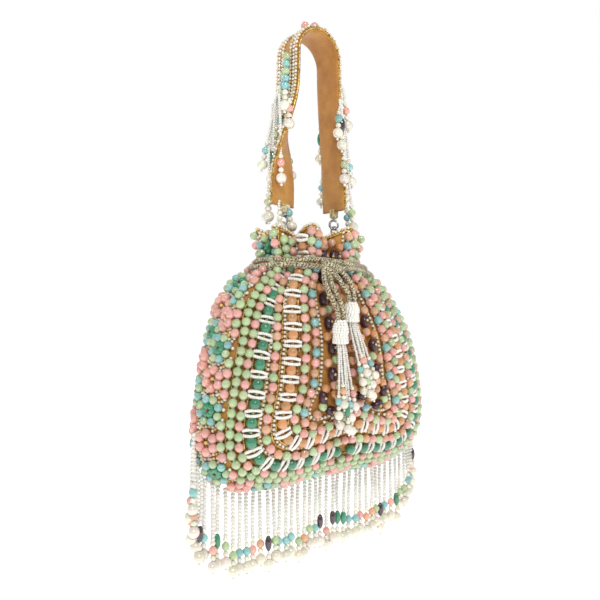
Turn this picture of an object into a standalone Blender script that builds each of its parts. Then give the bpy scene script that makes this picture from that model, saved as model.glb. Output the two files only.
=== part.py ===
"""Beaded potli (drawstring) bag hanging by its strap.

The strap is an upside-down U of flat fabric. Each of its ends carries a small metal clasp, and
each clasp holds a metal ring sewn to one side seam of the pouch. The pouch is two padded panels
joined along a U-shaped seam, gathered into pleats at the neck, with a doubled drawstring, two
beaded tassels and a bead fringe along the lower seam.

Frame: origin at the inside of the strap's arch, where it hangs; +X across the bag from clasp to
clasp, -Y the front, +Z up. Lengths below are in millimetres and become metres when meshes are made.
"""

import math

import bmesh
import bpy
import numpy as np
from mathutils import Vector

MM = 0.001
GAP = 0.3            # clearance between touching pieces

# Strap
STRAP_WIDTH = 24.0
STRAP_THICK = 3.0
STRAP_END_Z = -119.0
ARCH_HALF = 16.5     # half width of the strap's centre line where the arch begins
ARCH_RISE = 18.0     # height of the arch's half ellipse
LEG_HALF = 22.0      # half width of the strap's centre line at its ends
TWIST = math.radians(-70)         # turn of the left leg about the vertical, at its end
TWIST_TOP, TWIST_END = -35.0, -108.0

# Clasps and rings
PIVOT_Z = -131.5     # height of the clasps' lowest wire, which the pouch swings about
CLASP_WIRE = 0.9
CLASP_HALF = 3.8
CLASP_TALL = 3.2
RING_R = 3.0
RING_WIRE = 0.7
EYE_R = 1.7
EYE_WIRE = 0.6
LEVER_WIRE = 0.75
LEVER_FROM, LEVER_TO = math.radians(-30), math.radians(38)     # angles round the clasp's oval
HOOK_TIP_GAP = math.radians(16)   # room for the lever's tip to swing inward past the hook's
HOOK_HINGE_GAP = math.radians(12)
SHANK_TOP, SHANK_RADII = 1.9, (1.1, 0.9)
EYE_CLEAR = 1.6      # from the hook's top to the eye's lowest point
TAB_SIZE, TAB_OVER_EYE = (5.5, 5.5), 0.5
LOOP_SIZE, LOOP_OVER_RING = (4.4, 3.6), 2.0

# Pouch: heights, half widths and half depths over the beads, from the middle up to the mouth
LEVELS = [-235.0, -219.0, -200.0, -182.0, -172.0, -165.0, -157.5, -142.0, -128.0]
HALF_WIDTHS = [88.5, 85.0, 78.5, 69.0, 59.5, 48.0, 38.5, 41.0, 43.0]
HALF_DEPTHS = [44.0, 43.5, 40.5, 36.0, 33.5, 31.0, 28.5, 30.5, 33.0]
NECK_Z = -157.5
MIDDLE_Z = LEVELS[0]
BOTTOM_Z = -300.0
LOWER_SPREAD = 9.0   # how much the sides still widen below the middle
SEAM_POWER = 4.0     # roundness of the lower corners
SAG_POWER = 2.8      # fullness of the panel towards the bottom seam
LEAN = 6.0           # the body hangs this far to +X of the neck
LEAN_FROM, LEAN_OVER = 5.0, 50.0  # where the lean starts under the neck, and the height it takes
MOUTH_DIP = 12.0     # how far the mouth's edge drops at the side seams
DIP_FROM = 0.7       # share of the way to the seam where the drop begins
PLEAT_TURNS = [0.0, 0.30, 0.56, 0.80, 1.0]   # valley, crest, valley, crest, valley
PLEAT_LEVELS = [-235.0, -200.0, -182.0, -157.5, -128.0]
PLEAT_DEPTHS = [0.0, 3.0, 5.5, 8.0, 9.5]
SEAM_PULL = 10.5     # the mouth's extra inward pull at the side seams
PULL_FROM, PULL_OVER = 0.8, 22.0  # share across where that pull begins, and the height it takes
SEAM_SHARE, SEAM_FOLD = 0.9, 0.4  # beyond this share the pleats fold only partly to the front
WALL_MOUTH, WALL_BODY = 2.0, 4.0
WALL_OVER = 40.0     # height under the neck in which the wall gets its full thickness
LINING_GAP = 0.5
LINING = 0.8
RIBS_UPPER, RIBS_LOWER, STEPS_ACROSS = 10, 8, 11

# Drawstring
CORD = 3.2           # diameter
CORD_LOOPS = {"neck_cord_upper": 3.0, "neck_cord_lower": -0.6}
CORD_RISE = 1.6      # how far the neck loops wave up and down
CORD_CLEAR = 2.2     # their distance from the level profile, which slopes under them
KNOT = (-15.0, -37.6, -161.0)
KNOT_SIZE = (8.0, 5.0, 6.0)
TAIL_POINTS = 8

# Tassels: cap centre line top, cap length, strands' end, radii of the strands at their end
TASSELS = {
    "left": ((-11.5, -48.5, -195.0), 13.0, (-10.0, -53.0, -267.0), (11.0, 5.5)),
    "right": ((-1.0, -46.5, -184.0), 11.0, (9.5, -52.5, -247.0), (9.0, 5.0)),
}
CAP_R = 5.2
CAP_SHAPE = [(0, 0.75), (0.12, 0.9), (0.5, 1.0), (0.55, 0.86), (0.62, 0.95), (1, 1.0)]
STRANDS_TOP_R, STRANDS_SPREAD = 4.6, 0.8
STRANDS_SHARES = (0, 0.2, 0.45, 0.7, 0.86, 1.0)

# Fringe along the lower seam
FRINGE_PIECES = 14
FRINGE_TOP_Z = -262.0
FRINGE_LENGTH = 59.0
FRINGE_THICK = 5.0
FRINGE_CLEAR = 1.2   # distance from the pouch's seam

# Bead strings on the strap: share of the length and radius, then each one's top point and length
STRING_SHAPE = [(0, 1.0), (0.06, 1.9), (0.55, 1.9), (0.62, 2.6), (0.72, 2.0), (0.78, 3.6), (0.95, 3.6), (1, 1.2)]
STRAP_STRINGS = {
    "strap_string_left_top": ((-18.5, -15.6, -50.0), 19.0),
    "strap_string_left_front": ((-33.0, 5.0, -82.0), 30.0),
    "strap_string_left_middle": ((-27.0, 13.0, -74.0), 26.0),
    "strap_string_left_back": ((-36.0, 13.5, -66.0), 26.0),
    "strap_string_right_top": ((20.0, -15.6, -56.0), 17.0),
    "strap_string_right_front": ((27.6, -7.5, -80.0), 30.0),
    "strap_string_right_middle": ((28.4, 1.0, -66.0), 26.0),
    "strap_string_right_back": ((27.6, 9.0, -84.0), 30.0),
}

COLOURS = {
    "strap": ((0.43, 0.20, 0.06), 0.6, 0.0),
    "tab": ((0.50, 0.42, 0.26), 0.7, 0.0),
    "metal": ((0.75, 0.74, 0.72), 0.25, 1.0),
    "beads": ((0.55, 0.48, 0.36), 0.3, 0.0),
    "lining": ((0.40, 0.20, 0.08), 0.8, 0.0),
    "cord": ((0.62, 0.52, 0.32), 0.45, 0.3),
    "pearl": ((0.85, 0.82, 0.74), 0.25, 0.0),
    "green": ((0.35, 0.58, 0.42), 0.25, 0.0),
}


def clear_scene():
    for item in list(bpy.data.objects):
        bpy.data.objects.remove(item, do_unlink=True)


def material(name):
    """A plain finish from the colour table."""
    made = bpy.data.materials.get(name)
    if made is None:
        made = bpy.data.materials.new(name)
        made.use_nodes = True
        colour, roughness, metallic = COLOURS[name]
        shader = made.node_tree.nodes["Principled BSDF"]
        shader.inputs["Base Color"].default_value = (*colour, 1.0)
        shader.inputs["Roughness"].default_value = roughness
        shader.inputs["Metallic"].default_value = metallic
        made.diffuse_color = (*colour, 1.0)
    return made


def add_object(name, mesh, finish):
    made = bpy.data.objects.new(name, mesh)
    bpy.context.collection.objects.link(made)
    mesh.materials.append(material(finish))
    return made


def mesh_of(name, points, faces):
    """A mesh from points in millimetres, with its faces turned outward."""
    builder = bmesh.new()
    made = [builder.verts.new(Vector(point) * MM) for point in points]
    for face in faces:
        builder.faces.new([made[index] for index in face])
    bmesh.ops.recalc_face_normals(builder, faces=builder.faces)
    mesh = bpy.data.meshes.new(name)
    builder.to_mesh(mesh)
    builder.free()
    return mesh


def hide_helper(helper):
    helper.hide_render = True
    helper.display_type = "WIRE"


def combine(target, helper, operation):
    """Cuts or joins the helper solid into the target."""
    step = target.modifiers.new(operation.lower(), "BOOLEAN")
    step.operation = operation
    step.solver = "EXACT"
    step.object = helper
    hide_helper(helper)


def tube(name, points, radius, finish, closed=False, sides=2):
    """A round tube along a list of points in millimetres."""
    curve = bpy.data.curves.new(name, "CURVE")
    curve.dimensions = "3D"
    curve.bevel_depth = radius * MM
    curve.bevel_resolution = sides
    curve.render_resolution_u = 0
    curve.use_fill_caps = not closed
    spline = curve.splines.new("POLY")
    spline.points.add(len(points) - 1)
    for slot, point in zip(spline.points, points):
        slot.co = (*(Vector(point) * MM), 1.0)
    spline.use_cyclic_u = closed
    curve.materials.append(material(finish))
    made = bpy.data.objects.new(name, curve)
    bpy.context.collection.objects.link(made)
    return made


def as_mesh(curve_object):
    """The same tube as a mesh object, so that other solids can be joined to it."""
    name = curve_object.name
    mesh = bpy.data.meshes.new_from_object(curve_object)
    bpy.data.objects.remove(curve_object, do_unlink=True)
    made = bpy.data.objects.new(name, mesh)
    bpy.context.collection.objects.link(made)
    return made


def box(name, centre, size, finish):
    """A box with the given centre and full sizes."""
    half = np.array(size) / 2
    corners = [np.array(centre) + half * (i, j, k) for i in (-1, 1) for j in (-1, 1) for k in (-1, 1)]
    faces = [(0, 1, 3, 2), (4, 6, 7, 5), (0, 4, 5, 1), (2, 3, 7, 6), (0, 2, 6, 4), (1, 5, 7, 3)]
    return add_object(name, mesh_of(name, corners, faces), finish)


def turned(name, rings, finish, sides=10):
    """A closed solid through rings, each a centre and its two radii along X and Y."""
    turns = [2 * math.pi * k / sides for k in range(sides)]
    points = []
    for (x, y, z), (rx, ry) in rings:
        points += [(x + rx * math.cos(a), y + ry * math.sin(a), z) for a in turns]
    faces = [tuple(range(sides)), tuple(range(len(points) - sides, len(points)))]
    for row in range(len(rings) - 1):
        for k in range(sides):
            a, b = row * sides + k, row * sides + (k + 1) % sides
            faces.append((a, b, b + sides, a + sides))
    return add_object(name, mesh_of(name, points, faces), finish)


def smooth_step(value):
    value = np.clip(value, 0.0, 1.0)
    return value * value * (3 - 2 * value)


def curve_through(levels, values, at):
    """A smooth curve through the given values (Catmull-Rom on uneven steps)."""
    levels, values = np.asarray(levels, float), np.asarray(values, float)
    slopes = np.gradient(values, levels)
    at = np.clip(np.asarray(at, float), levels[0], levels[-1])
    k = np.clip(np.searchsorted(levels, at) - 1, 0, len(levels) - 2)
    step = levels[k + 1] - levels[k]
    t = (at - levels[k]) / step
    start = (2 * t**3 - 3 * t**2 + 1) * values[k] + (t**3 - 2 * t**2 + t) * step * slopes[k]
    end = (3 * t**2 - 2 * t**3) * values[k + 1] + (t**3 - t**2) * step * slopes[k + 1]
    return start + end


# ---------------------------------------------------------------- strap

def strap_line(count_leg=12, count_arch=12):
    """Points of the strap's centre line from the left end over the arch to the right end."""
    centre_z = STRAP_THICK / 2 - ARCH_RISE
    legs_z = np.linspace(STRAP_END_Z, centre_z, count_leg, endpoint=False)
    share = smooth_step((centre_z - legs_z) / (centre_z - STRAP_END_Z))
    legs_x = ARCH_HALF + (LEG_HALF - ARCH_HALF) * share
    turns = np.linspace(math.pi, 0, count_arch + 1)
    left = [(-x, z) for x, z in zip(legs_x, legs_z)]
    arch = [(ARCH_HALF * math.cos(a), centre_z + ARCH_RISE * math.sin(a)) for a in turns]
    right = [(x, z) for x, z in zip(legs_x[::-1], legs_z[::-1])]
    return np.array(left + arch + right)


def strap_frames():
    """Centre, width direction and thickness direction at each point of the strap."""
    line = strap_line()
    along = np.gradient(line, axis=0)
    along /= np.linalg.norm(along, axis=1, keepdims=True)
    for (x, z), (dx, dz) in zip(line, along):
        twist = TWIST * smooth_step((TWIST_TOP - z) / (TWIST_TOP - TWIST_END)) if x < 0 else 0.0
        across = Vector((-math.sin(twist), math.cos(twist), 0))
        forward = Vector((dx, 0, dz))
        across = (across - forward * across.dot(forward)).normalized()
        yield Vector((x, 0, z)), across, forward.cross(across)


def make_strap():
    """The flat band: a rectangle carried along the strap's line."""
    points, faces = [], []
    for centre, across, outward in strap_frames():
        for w, t in ((-1, -1), (1, -1), (1, 1), (-1, 1)):
            points.append(centre + across * (w * STRAP_WIDTH / 2) + outward * (t * STRAP_THICK / 2))
    rows = len(points) // 4
    for row in range(rows - 1):
        for k in range(4):
            a, b = row * 4 + k, row * 4 + (k + 1) % 4
            faces.append((a, b, b + 4, a + 4))
    faces += [(0, 1, 2, 3), tuple(range(len(points) - 4, len(points)))]
    add_object("strap_band", mesh_of("strap_band", points, faces), "strap")


def make_strap_strings():
    """Short strings of beads that hang from the strap, each ending in a large pearl."""
    for name, ((x, y, z), length) in STRAP_STRINGS.items():
        rings = [((x, y, z - length * share), (r, r)) for share, r in STRING_SHAPE]
        turned(name, rings, "pearl", sides=8)


# ---------------------------------------------------------------- clasps and rings

def torus(name, centre, radius, wire, finish, steps=20):
    """A ring of wire standing in the YZ plane."""
    turns = [2 * math.pi * k / steps for k in range(steps)]
    x, y, z = centre
    points = [(x, y + radius * math.cos(a), z + radius * math.sin(a)) for a in turns]
    return tube(name, points, wire, finish, closed=True)


def fabric_loop(name, centre, size, ring_centre, radius, wire):
    """A stitched fabric tab with a tunnel that a wire ring passes through."""
    tab = box(name, centre, size, "tab")
    tunnel = as_mesh(torus(name + "_tunnel", ring_centre, radius, wire + GAP, "tab"))
    combine(tab, tunnel, "DIFFERENCE")


def clasp_arc(x, side, start, end, steps):
    """Points on the clasp's oval hook, counted from its outer side."""
    centre_z = PIVOT_Z + CLASP_TALL
    turns = np.linspace(start, end, steps)
    return [(x + side * CLASP_HALF * math.cos(a), 0, centre_z + CLASP_TALL * math.sin(a)) for a in turns]


def make_clasp(word, side):
    """A trigger clasp: an open hook, a shank and an eye, with a lever that closes the hook."""
    x = side * LEG_HALF
    hook_end = 2 * math.pi + LEVER_FROM - HOOK_TIP_GAP
    hook_points = clasp_arc(x, side, LEVER_TO + HOOK_HINGE_GAP, hook_end, 18)
    hook = as_mesh(tube("clasp_" + word, hook_points, CLASP_WIRE, "metal"))
    top_z = PIVOT_Z + 2 * CLASP_TALL
    eye_z = top_z + EYE_CLEAR + EYE_R
    low_r, high_r = SHANK_RADII
    shank_rings = [((x, 0, top_z - GAP), (low_r, low_r)), ((x, 0, top_z + SHANK_TOP), (high_r, high_r))]
    shank = turned("shank_" + word, shank_rings, "metal", sides=8)
    eye = as_mesh(torus("eye_" + word, (x, 0, eye_z), EYE_R, EYE_WIRE, "metal", steps=16))
    combine(hook, shank, "UNION")
    combine(hook, eye, "UNION")
    tube("clasp_lever_" + word, clasp_arc(x, side, LEVER_FROM, LEVER_TO, 7), LEVER_WIRE, "metal")
    tab_low = eye_z + TAB_OVER_EYE
    tab_high = STRAP_END_Z - GAP
    tab_centre = (x, 0, (tab_low + tab_high) / 2)
    tab_size = (*TAB_SIZE, tab_high - tab_low)
    fabric_loop("strap_tab_" + word, tab_centre, tab_size, (x, 0, eye_z), EYE_R, EYE_WIRE)


def ring_centre_z():
    """The ring hangs on the clasp's wire, with the usual gap between them."""
    return PIVOT_Z - (RING_R - RING_WIRE - CLASP_WIRE - GAP)


def make_ring(word, side):
    """A wire ring and the fabric loop that sews it to the mouth's edge."""
    centre = (side * LEG_HALF, 0, ring_centre_z())
    torus("ring_" + word, centre, RING_R, RING_WIRE, "metal")
    low = LEVELS[-1] - MOUTH_DIP + 2 * GAP
    high = centre[2] - RING_R + LOOP_OVER_RING
    size = (*LOOP_SIZE, high - low)
    fabric_loop("ring_loop_" + word, (centre[0], 0, (low + high) / 2), size, centre, RING_R, RING_WIRE)


# ---------------------------------------------------------------- pouch

def half_width(z):
    return curve_through(LEVELS, HALF_WIDTHS, z)


def half_depth(z):
    return curve_through(LEVELS, HALF_DEPTHS, z)


def lean_at(z):
    """Sideways shift of the body under the neck."""
    return LEAN * smooth_step((NECK_Z - LEAN_FROM - z) / LEAN_OVER)


def pleat(share, z):
    """Depth of the pleats at a share of the way from a panel's centre line to its side seam."""
    phase = np.interp(share, PLEAT_TURNS, np.arange(len(PLEAT_TURNS)) * math.pi)
    depth = curve_through(PLEAT_LEVELS, PLEAT_DEPTHS, z)
    across = smooth_step((share - PULL_FROM) / (1 - PULL_FROM))
    pulled = SEAM_PULL * smooth_step((z - NECK_Z) / PULL_OVER) * across
    return depth * (1 + np.cos(phase)) / 2 + pulled


def even_profile(reach, depth, power, shares):
    """Points at even arc lengths on a quarter superellipse, as shares of its reach and depth."""
    turns = np.linspace(0, math.pi / 2, 241)
    out = np.sin(turns) ** (2 / power)
    back = np.cos(turns) ** (2 / power)
    steps = np.hypot(np.diff(out) * reach, np.diff(back) * depth)
    arc = np.concatenate([[0], np.cumsum(steps)])
    return np.interp(shares * arc[-1], arc, out), np.interp(shares * arc[-1], arc, back)


def lower_seam(count):
    """Even points on the seam from the pouch's middle height round the corner to the bottom."""
    turns = np.linspace(0, math.pi / 2, 721)
    drop = np.sin(turns) ** (2 / SEAM_POWER)
    x = (HALF_WIDTHS[0] + LOWER_SPREAD * drop) * np.cos(turns) ** (2 / SEAM_POWER)
    z = MIDDLE_Z - (MIDDLE_Z - BOTTOM_Z) * drop
    arc = np.concatenate([[0], np.cumsum(np.hypot(np.diff(x), np.diff(z)))])
    at = np.linspace(0, arc[-1], count)
    return np.interp(at, arc, x), np.interp(at, arc, z)


def upper_rib(share_down, shares):
    """One rib of the front right quarter between the mouth's edge and the middle height."""
    drop = MOUTH_DIP * smooth_step((shares - DIP_FROM) / (1 - DIP_FROM))
    edge = LEVELS[-1] - drop * (1 - share_down)
    z = edge + (MIDDLE_Z - LEVELS[-1]) * share_down
    across, back = even_profile(HALF_WIDTHS[0], HALF_DEPTHS[0], 2.0, shares)
    fold = pleat(shares, z)
    x = (half_width(z) - fold) * across
    y = -(half_depth(z) - fold * np.where(shares > SEAM_SHARE, SEAM_FOLD, 1.0)) * back
    return np.stack([x, y, z], axis=-1)


def lower_rib(seam_x, seam_z, shares):
    """One rib of the front right quarter from the panel's middle to a point on the lower seam."""
    fall = (MIDDLE_Z - seam_z) / (MIDDLE_Z - BOTTOM_Z)
    power = 2.0 + (SAG_POWER - 2.0) * fall
    reach = math.hypot(seam_x, MIDDLE_Z - seam_z)
    across, back = even_profile(reach, HALF_DEPTHS[0], power, shares)
    return np.stack([seam_x * across, -HALF_DEPTHS[0] * back, MIDDLE_Z + (seam_z - MIDDLE_Z) * across], axis=-1)


def right_half():
    """Rows of points from the front's centre over the right seam to the back's centre."""
    shares = np.linspace(0, 1, STEPS_ACROSS + 1)
    ribs = [upper_rib(k / RIBS_UPPER, shares) for k in range(RIBS_UPPER)]
    for seam_x, seam_z in zip(*lower_seam(RIBS_LOWER + 1)):
        ribs.append(lower_rib(seam_x, seam_z, shares))
    front = np.array(ribs)
    back = front[:, -2::-1] * (1, -1, 1)
    return np.concatenate([front, back], axis=1)


def pouch_skin():
    """The pouch's outside as points and faces, open at the mouth, leaning to +X."""
    right = right_half()
    rows, columns = right.shape[:2]
    left = right * (-1, 1, 1)
    points = np.concatenate([right.reshape(-1, 3), left.reshape(-1, 3)])
    points[:, 0] += lean_at(points[:, 2])
    faces = []
    for half in range(2):
        start = half * rows * columns
        for i in range(rows - 1):
            for j in range(columns - 1):
                a = start + i * columns + j
                face = (a, a + columns, a + columns + 1, a + 1)
                faces.append(face[::-1] if half else face)
    return points, faces


def skin_builder():
    """The pouch's outside as a welded bmesh with outward faces."""
    points, faces = pouch_skin()
    builder = bmesh.new()
    made = [builder.verts.new(Vector(point) * MM) for point in points]
    for face in faces:
        builder.faces.new([made[index] for index in face])
    bmesh.ops.remove_doubles(builder, verts=builder.verts, dist=0.00002)
    bmesh.ops.triangulate(builder, faces=builder.faces)
    bmesh.ops.recalc_face_normals(builder, faces=builder.faces)
    builder.normal_update()
    return builder


def wall_at(z):
    """Thickness of the beaded wall, thinner where it is gathered."""
    share = smooth_step((NECK_Z - z) / WALL_OVER)
    return WALL_MOUTH + (WALL_BODY - WALL_MOUTH) * share


def make_shell(name, outer, inner, finish):
    """A closed shell between two depths under the pouch's outside, given as functions of height."""
    builder = skin_builder()
    base = [vert.co.copy() for vert in builder.verts]
    normals = [vert.normal.copy() for vert in builder.verts]
    layers = []
    for depth in (outer, inner):
        layers.append([p - n * depth(p.z / MM) * MM for p, n in zip(base, normals)])
    faces = [[vert.index for vert in face.verts] for face in builder.faces]
    rim = [[vert.index for vert in edge.verts] for edge in builder.edges if edge.is_boundary]
    builder.free()
    count = len(base)
    shell = bmesh.new()
    made = [shell.verts.new(p) for layer in layers for p in layer]
    for face in faces:
        shell.faces.new([made[k] for k in face])
        shell.faces.new([made[k + count] for k in reversed(face)])
    for a, b in rim:
        shell.faces.new([made[a], made[b], made[b + count], made[a + count]])
    bmesh.ops.triangulate(shell, faces=shell.faces)
    bmesh.ops.recalc_face_normals(shell, faces=shell.faces)
    mesh = bpy.data.meshes.new(name)
    shell.to_mesh(mesh)
    shell.free()
    add_object(name, mesh, finish)


def make_pouch():
    make_shell("outer_pouch", lambda z: 0.0, wall_at, "beads")
    make_shell("lining", lambda z: wall_at(z) + LINING_GAP, lambda z: wall_at(z) + LINING_GAP + LINING, "lining")


# ---------------------------------------------------------------- drawstring and tassels

def neck_path(shift, count=36):
    """A closed loop of cord that rests on the pleats' crests at the neck."""
    points = []
    for k in range(count):
        a = 2 * math.pi * k / count
        z = NECK_Z + shift + CORD_RISE * math.cos(a + 0.9)
        reach = CORD / 2 + CORD_CLEAR
        points.append(((half_width(z) + reach) * math.sin(a), -(half_depth(z) + reach) * math.cos(a), z))
    return points


def make_neck_cords():
    for name, shift in CORD_LOOPS.items():
        tube(name, neck_path(shift), CORD / 2, "cord", closed=True)


def make_knot():
    """The lump where the drawstring is tied."""
    x, y, z = KNOT
    rx, ry, rz = KNOT_SIZE
    rings = []
    for k in range(1, 8):
        a = math.pi * k / 8
        rings.append(((x, y, z + rz * math.cos(a)), (rx * math.sin(a), ry * math.sin(a))))
    turned("knot", rings, "cord", sides=12)


def smooth_route(points, count):
    """Points read from a smooth curve through the route's own points."""
    points = np.array(points, float)
    steps = np.linalg.norm(np.diff(points, axis=0), axis=1)
    arc = np.concatenate([[0], np.cumsum(steps)])
    at = np.linspace(0, arc[-1], count)
    return np.stack([curve_through(arc, points[:, k], at) for k in range(3)], axis=-1)


def tail_routes():
    """The four strands of the drawstring's two doubled tails, from the knot to the tassel caps."""
    (lx, ly, lz), (rx, ry, rz) = TASSELS["left"][0], TASSELS["right"][0]
    return {
        "tail_left_outer": [(-17.8, -40.2, -168.6), (-17.4, -44.0, -177.0), (lx - 2.2, ly, lz + 5),
                            (lx - 2.0, ly, lz + 2 * GAP)],
        "tail_left_inner": [(-13.4, -40.2, -169.0), (-12.0, -44.2, -177.0), (lx + 2.2, ly, lz + 5),
                            (lx + 2.0, ly, lz + 2 * GAP)],
        "tail_right_outer": [(-9.2, -41.2, -166.6), (-6.6, -43.8, -171.6), (rx - 2.4, ry, rz + 5),
                             (rx - 2.0, ry, rz + 2 * GAP)],
        "tail_right_inner": [(-5.4, -39.0, -162.8), (-1.6, -42.4, -167.6), (rx + 2.0, ry, rz + 5),
                             (rx + 2.0, ry, rz + 2 * GAP)],
    }


def make_tails():
    for name, route in tail_routes().items():
        tube(name, smooth_route(route, TAIL_POINTS), CORD / 2, "cord")


def make_tassel(word):
    """A domed cap over a bunch of bead strands that spreads towards its end."""
    (x, y, z), cap, (ex, ey, ez), (rx, ry) = TASSELS[word]
    cap_rings = [((x, y, z - cap * share), (CAP_R * r, CAP_R * r)) for share, r in CAP_SHAPE]
    turned("tassel_cap_" + word, cap_rings, "pearl", sides=12)
    start = np.array((x, y, z - cap - GAP))
    end = np.array((ex, ey, ez))
    rings = []
    for share in STRANDS_SHARES:
        spread = share ** STRANDS_SPREAD
        radii = tuple(STRANDS_TOP_R + (r - STRANDS_TOP_R) * spread for r in (rx, ry))
        rings.append((tuple(start + (end - start) * share), radii))
    turned("tassel_strands_" + word, rings, "green", sides=12)


# ---------------------------------------------------------------- fringe

def fringe_line():
    """The lower seam from the fringe's left start to its right start, moved just clear of the pouch."""
    x, z = lower_seam(161)
    keep = z <= FRINGE_TOP_Z
    x, z = x[keep], z[keep]
    x, z = np.concatenate([x, -x[-2::-1]])[::-1], np.concatenate([z, z[-2::-1]])[::-1]
    along = np.stack([np.gradient(x), np.gradient(z)], axis=-1)
    along /= np.linalg.norm(along, axis=1, keepdims=True)
    return x + LEAN + FRINGE_CLEAR * along[:, 1], z - FRINGE_CLEAR * along[:, 0]


def make_fringe():
    """The row of bead strings as curved slabs that hang straight down from the seam."""
    x, z = fringe_line()
    cuts = np.linspace(x[0], x[-1], FRINGE_PIECES + 1)
    for k in range(FRINGE_PIECES):
        span = np.linspace(cuts[k] + GAP / 2, cuts[k + 1] - GAP / 2, 6)
        top = np.interp(span, x, z)
        outline = list(zip(span, top)) + list(zip(span[::-1], top[::-1] - FRINGE_LENGTH))
        count = len(outline)
        points = [(px, y, pz) for y in (-FRINGE_THICK / 2, FRINGE_THICK / 2) for px, pz in outline]
        faces = [tuple(range(count)), tuple(range(count, 2 * count))]
        faces += [(i, (i + 1) % count, (i + 1) % count + count, i + count) for i in range(count)]
        name = "fringe_%02d" % (k + 1)
        add_object(name, mesh_of(name, points, faces), "green")


def main():
    clear_scene()
    make_strap()
    make_strap_strings()
    for word, side in (("left", -1), ("right", 1)):
        make_clasp(word, side)
        make_ring(word, side)
        make_tassel(word)
    make_pouch()
    make_neck_cords()
    make_knot()
    make_tails()
    make_fringe()


main()
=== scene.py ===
"""Beaded potli bag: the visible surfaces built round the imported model, as a Blender add-on.

The pouch is worked out as one quarter (front right) on a grid of ribs and shares: a rib runs from
the panel's centre line to its seam, and a share says how far along the rib a point lies. The other
three quarters are its mirror images.
"""

import math

import bmesh
import bpy
import numpy as np
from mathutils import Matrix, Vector


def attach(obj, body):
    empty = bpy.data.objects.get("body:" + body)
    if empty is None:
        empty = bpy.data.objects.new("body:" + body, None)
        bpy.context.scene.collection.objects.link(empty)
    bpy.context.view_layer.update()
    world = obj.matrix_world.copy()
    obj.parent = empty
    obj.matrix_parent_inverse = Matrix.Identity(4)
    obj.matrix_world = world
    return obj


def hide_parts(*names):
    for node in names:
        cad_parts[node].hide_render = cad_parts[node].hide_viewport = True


bl_info = {
    "name": "Beaded Potli Bag",
    "version": (1, 0, 0),
    "blender": (4, 5, 0),
    "location": "View3D > Sidebar > Potli",
    "description": "Builds the beaded surfaces of a drawstring potli bag round its packed model",
    "category": "Add Mesh",
}

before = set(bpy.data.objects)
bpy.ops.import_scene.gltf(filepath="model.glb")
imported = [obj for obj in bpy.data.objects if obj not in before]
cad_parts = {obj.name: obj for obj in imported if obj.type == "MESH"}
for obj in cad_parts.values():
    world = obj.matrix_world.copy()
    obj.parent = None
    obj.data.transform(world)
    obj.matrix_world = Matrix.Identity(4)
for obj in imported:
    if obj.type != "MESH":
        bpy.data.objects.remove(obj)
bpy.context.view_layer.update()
MM = 0.001
WELD = 0.00001     # points nearer than this, in metres, become one

# Pouch: heights, half widths and half depths over the beads, from the middle up to the mouth
LEVELS = [-235.0, -219.0, -200.0, -182.0, -172.0, -165.0, -157.5, -142.0, -128.0]
HALF_WIDTHS = [88.5, 85.0, 78.5, 69.0, 59.5, 48.0, 38.5, 41.0, 43.0]
HALF_DEPTHS = [44.0, 43.5, 40.5, 36.0, 33.5, 31.0, 28.5, 30.5, 33.0]
NECK_Z, MIDDLE_Z, BOTTOM_Z = -157.5, -235.0, -304.5
LOWER_SPREAD, SEAM_POWER, SAG_POWER = 11.0, 4.0, 1.85
LEAN = 6.0
EDGE_Z, MOUTH_DIP, SEAM_DIP, SEAM_PULL = -133.5, 7.0, 3.0, 4.0
PLEAT_TURNS = [0.0, 0.36, 0.62, 0.84, 1.0]      # valley, crest, valley, crest, valley
PLEAT_LEVELS = [-240.0, -212.0, -190.0, -172.0, -161.0, -128.0]
PLEAT_DEPTHS = [0.0, 2.0, 5.5, 8.0, 9.0, 14.5]
CLOTH_DEPTH = 3.4          # the cloth lies this far under the tops of the beads
PANEL = 111.0              # from a panel's centre line to its seam, along the cloth
ROWS_UPPER, ROWS_LOWER, STEPS = 130, 90, 120

# Rows of the pattern, in millimetres from the seam
FLOWER_ROW = 9.2
BEAD_ROWS = [(19.4, "pink green"), (25.4, "green"), (31.2, "green pink"), (49.4, "pink green peach"),
             (70.4, "pink green"), (77.6, "pink teal peach")]
# Ladders: distance from the seam, pitch, colour, bead radius and how far the arcs bow
LADDERS = [(39.4, 11.6, "emerald", 3.8, 0.7), (61.4, 10.8, "amber", 3.5, 0.6)]
LADDER_HALF, ARC_BEAD, ARC_LIFT = 4.7, 1.28, 2.9
PEARL_ROWS = [45.4, 55.3, 83.2]
GOLD_ROWS = [22.4, 34.3, 44.1, 53.4, 57.0, 66.3, 74.0, 81.6]
OVAL_ROW, OVAL_PITCH, CORE_ROWS, CORE_PITCH = 91.0, 16.0, [101.0, 107.5], 7.4
FIELD_EDGE, FIELD_STEP, FIELD_PITCH, FIELD_GAP = 17.5, 2.3, 2.4, 0.1
CROWDED_ROUNDS, CROWDED_SEEDS = 0.72, 0.62     # beads nearer than this share of their radii are dropped

# Strap, clasps and rings
STRAP_WIDTH, STRAP_THICK, STRAP_END_Z = 24.0, 3.0, -119.0
ARCH_HALF, ARCH_RISE, LEG_HALF = 16.5, 18.0, 22.0
TWIST, TWIST_TOP, TWIST_END = math.radians(-70), -35.0, -108.0
PIVOT_Z = -131.5
# Bead rows on the strap, each on both sides: distance from its middle, pitch and colours in turn
STRAP_ROWS = [
    (11.0, 2.4, ("pearl", "gold")),
    (8.4, 2.4, ("seed", "pearl")),
    (4.8, 2.3, ("pearl", "pearl", "gold")),
]
LEG_POINTS, ARCH_POINTS, NECK_POINTS = 90, 60, 120     # points on each leg, on the arch and round the neck

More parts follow.
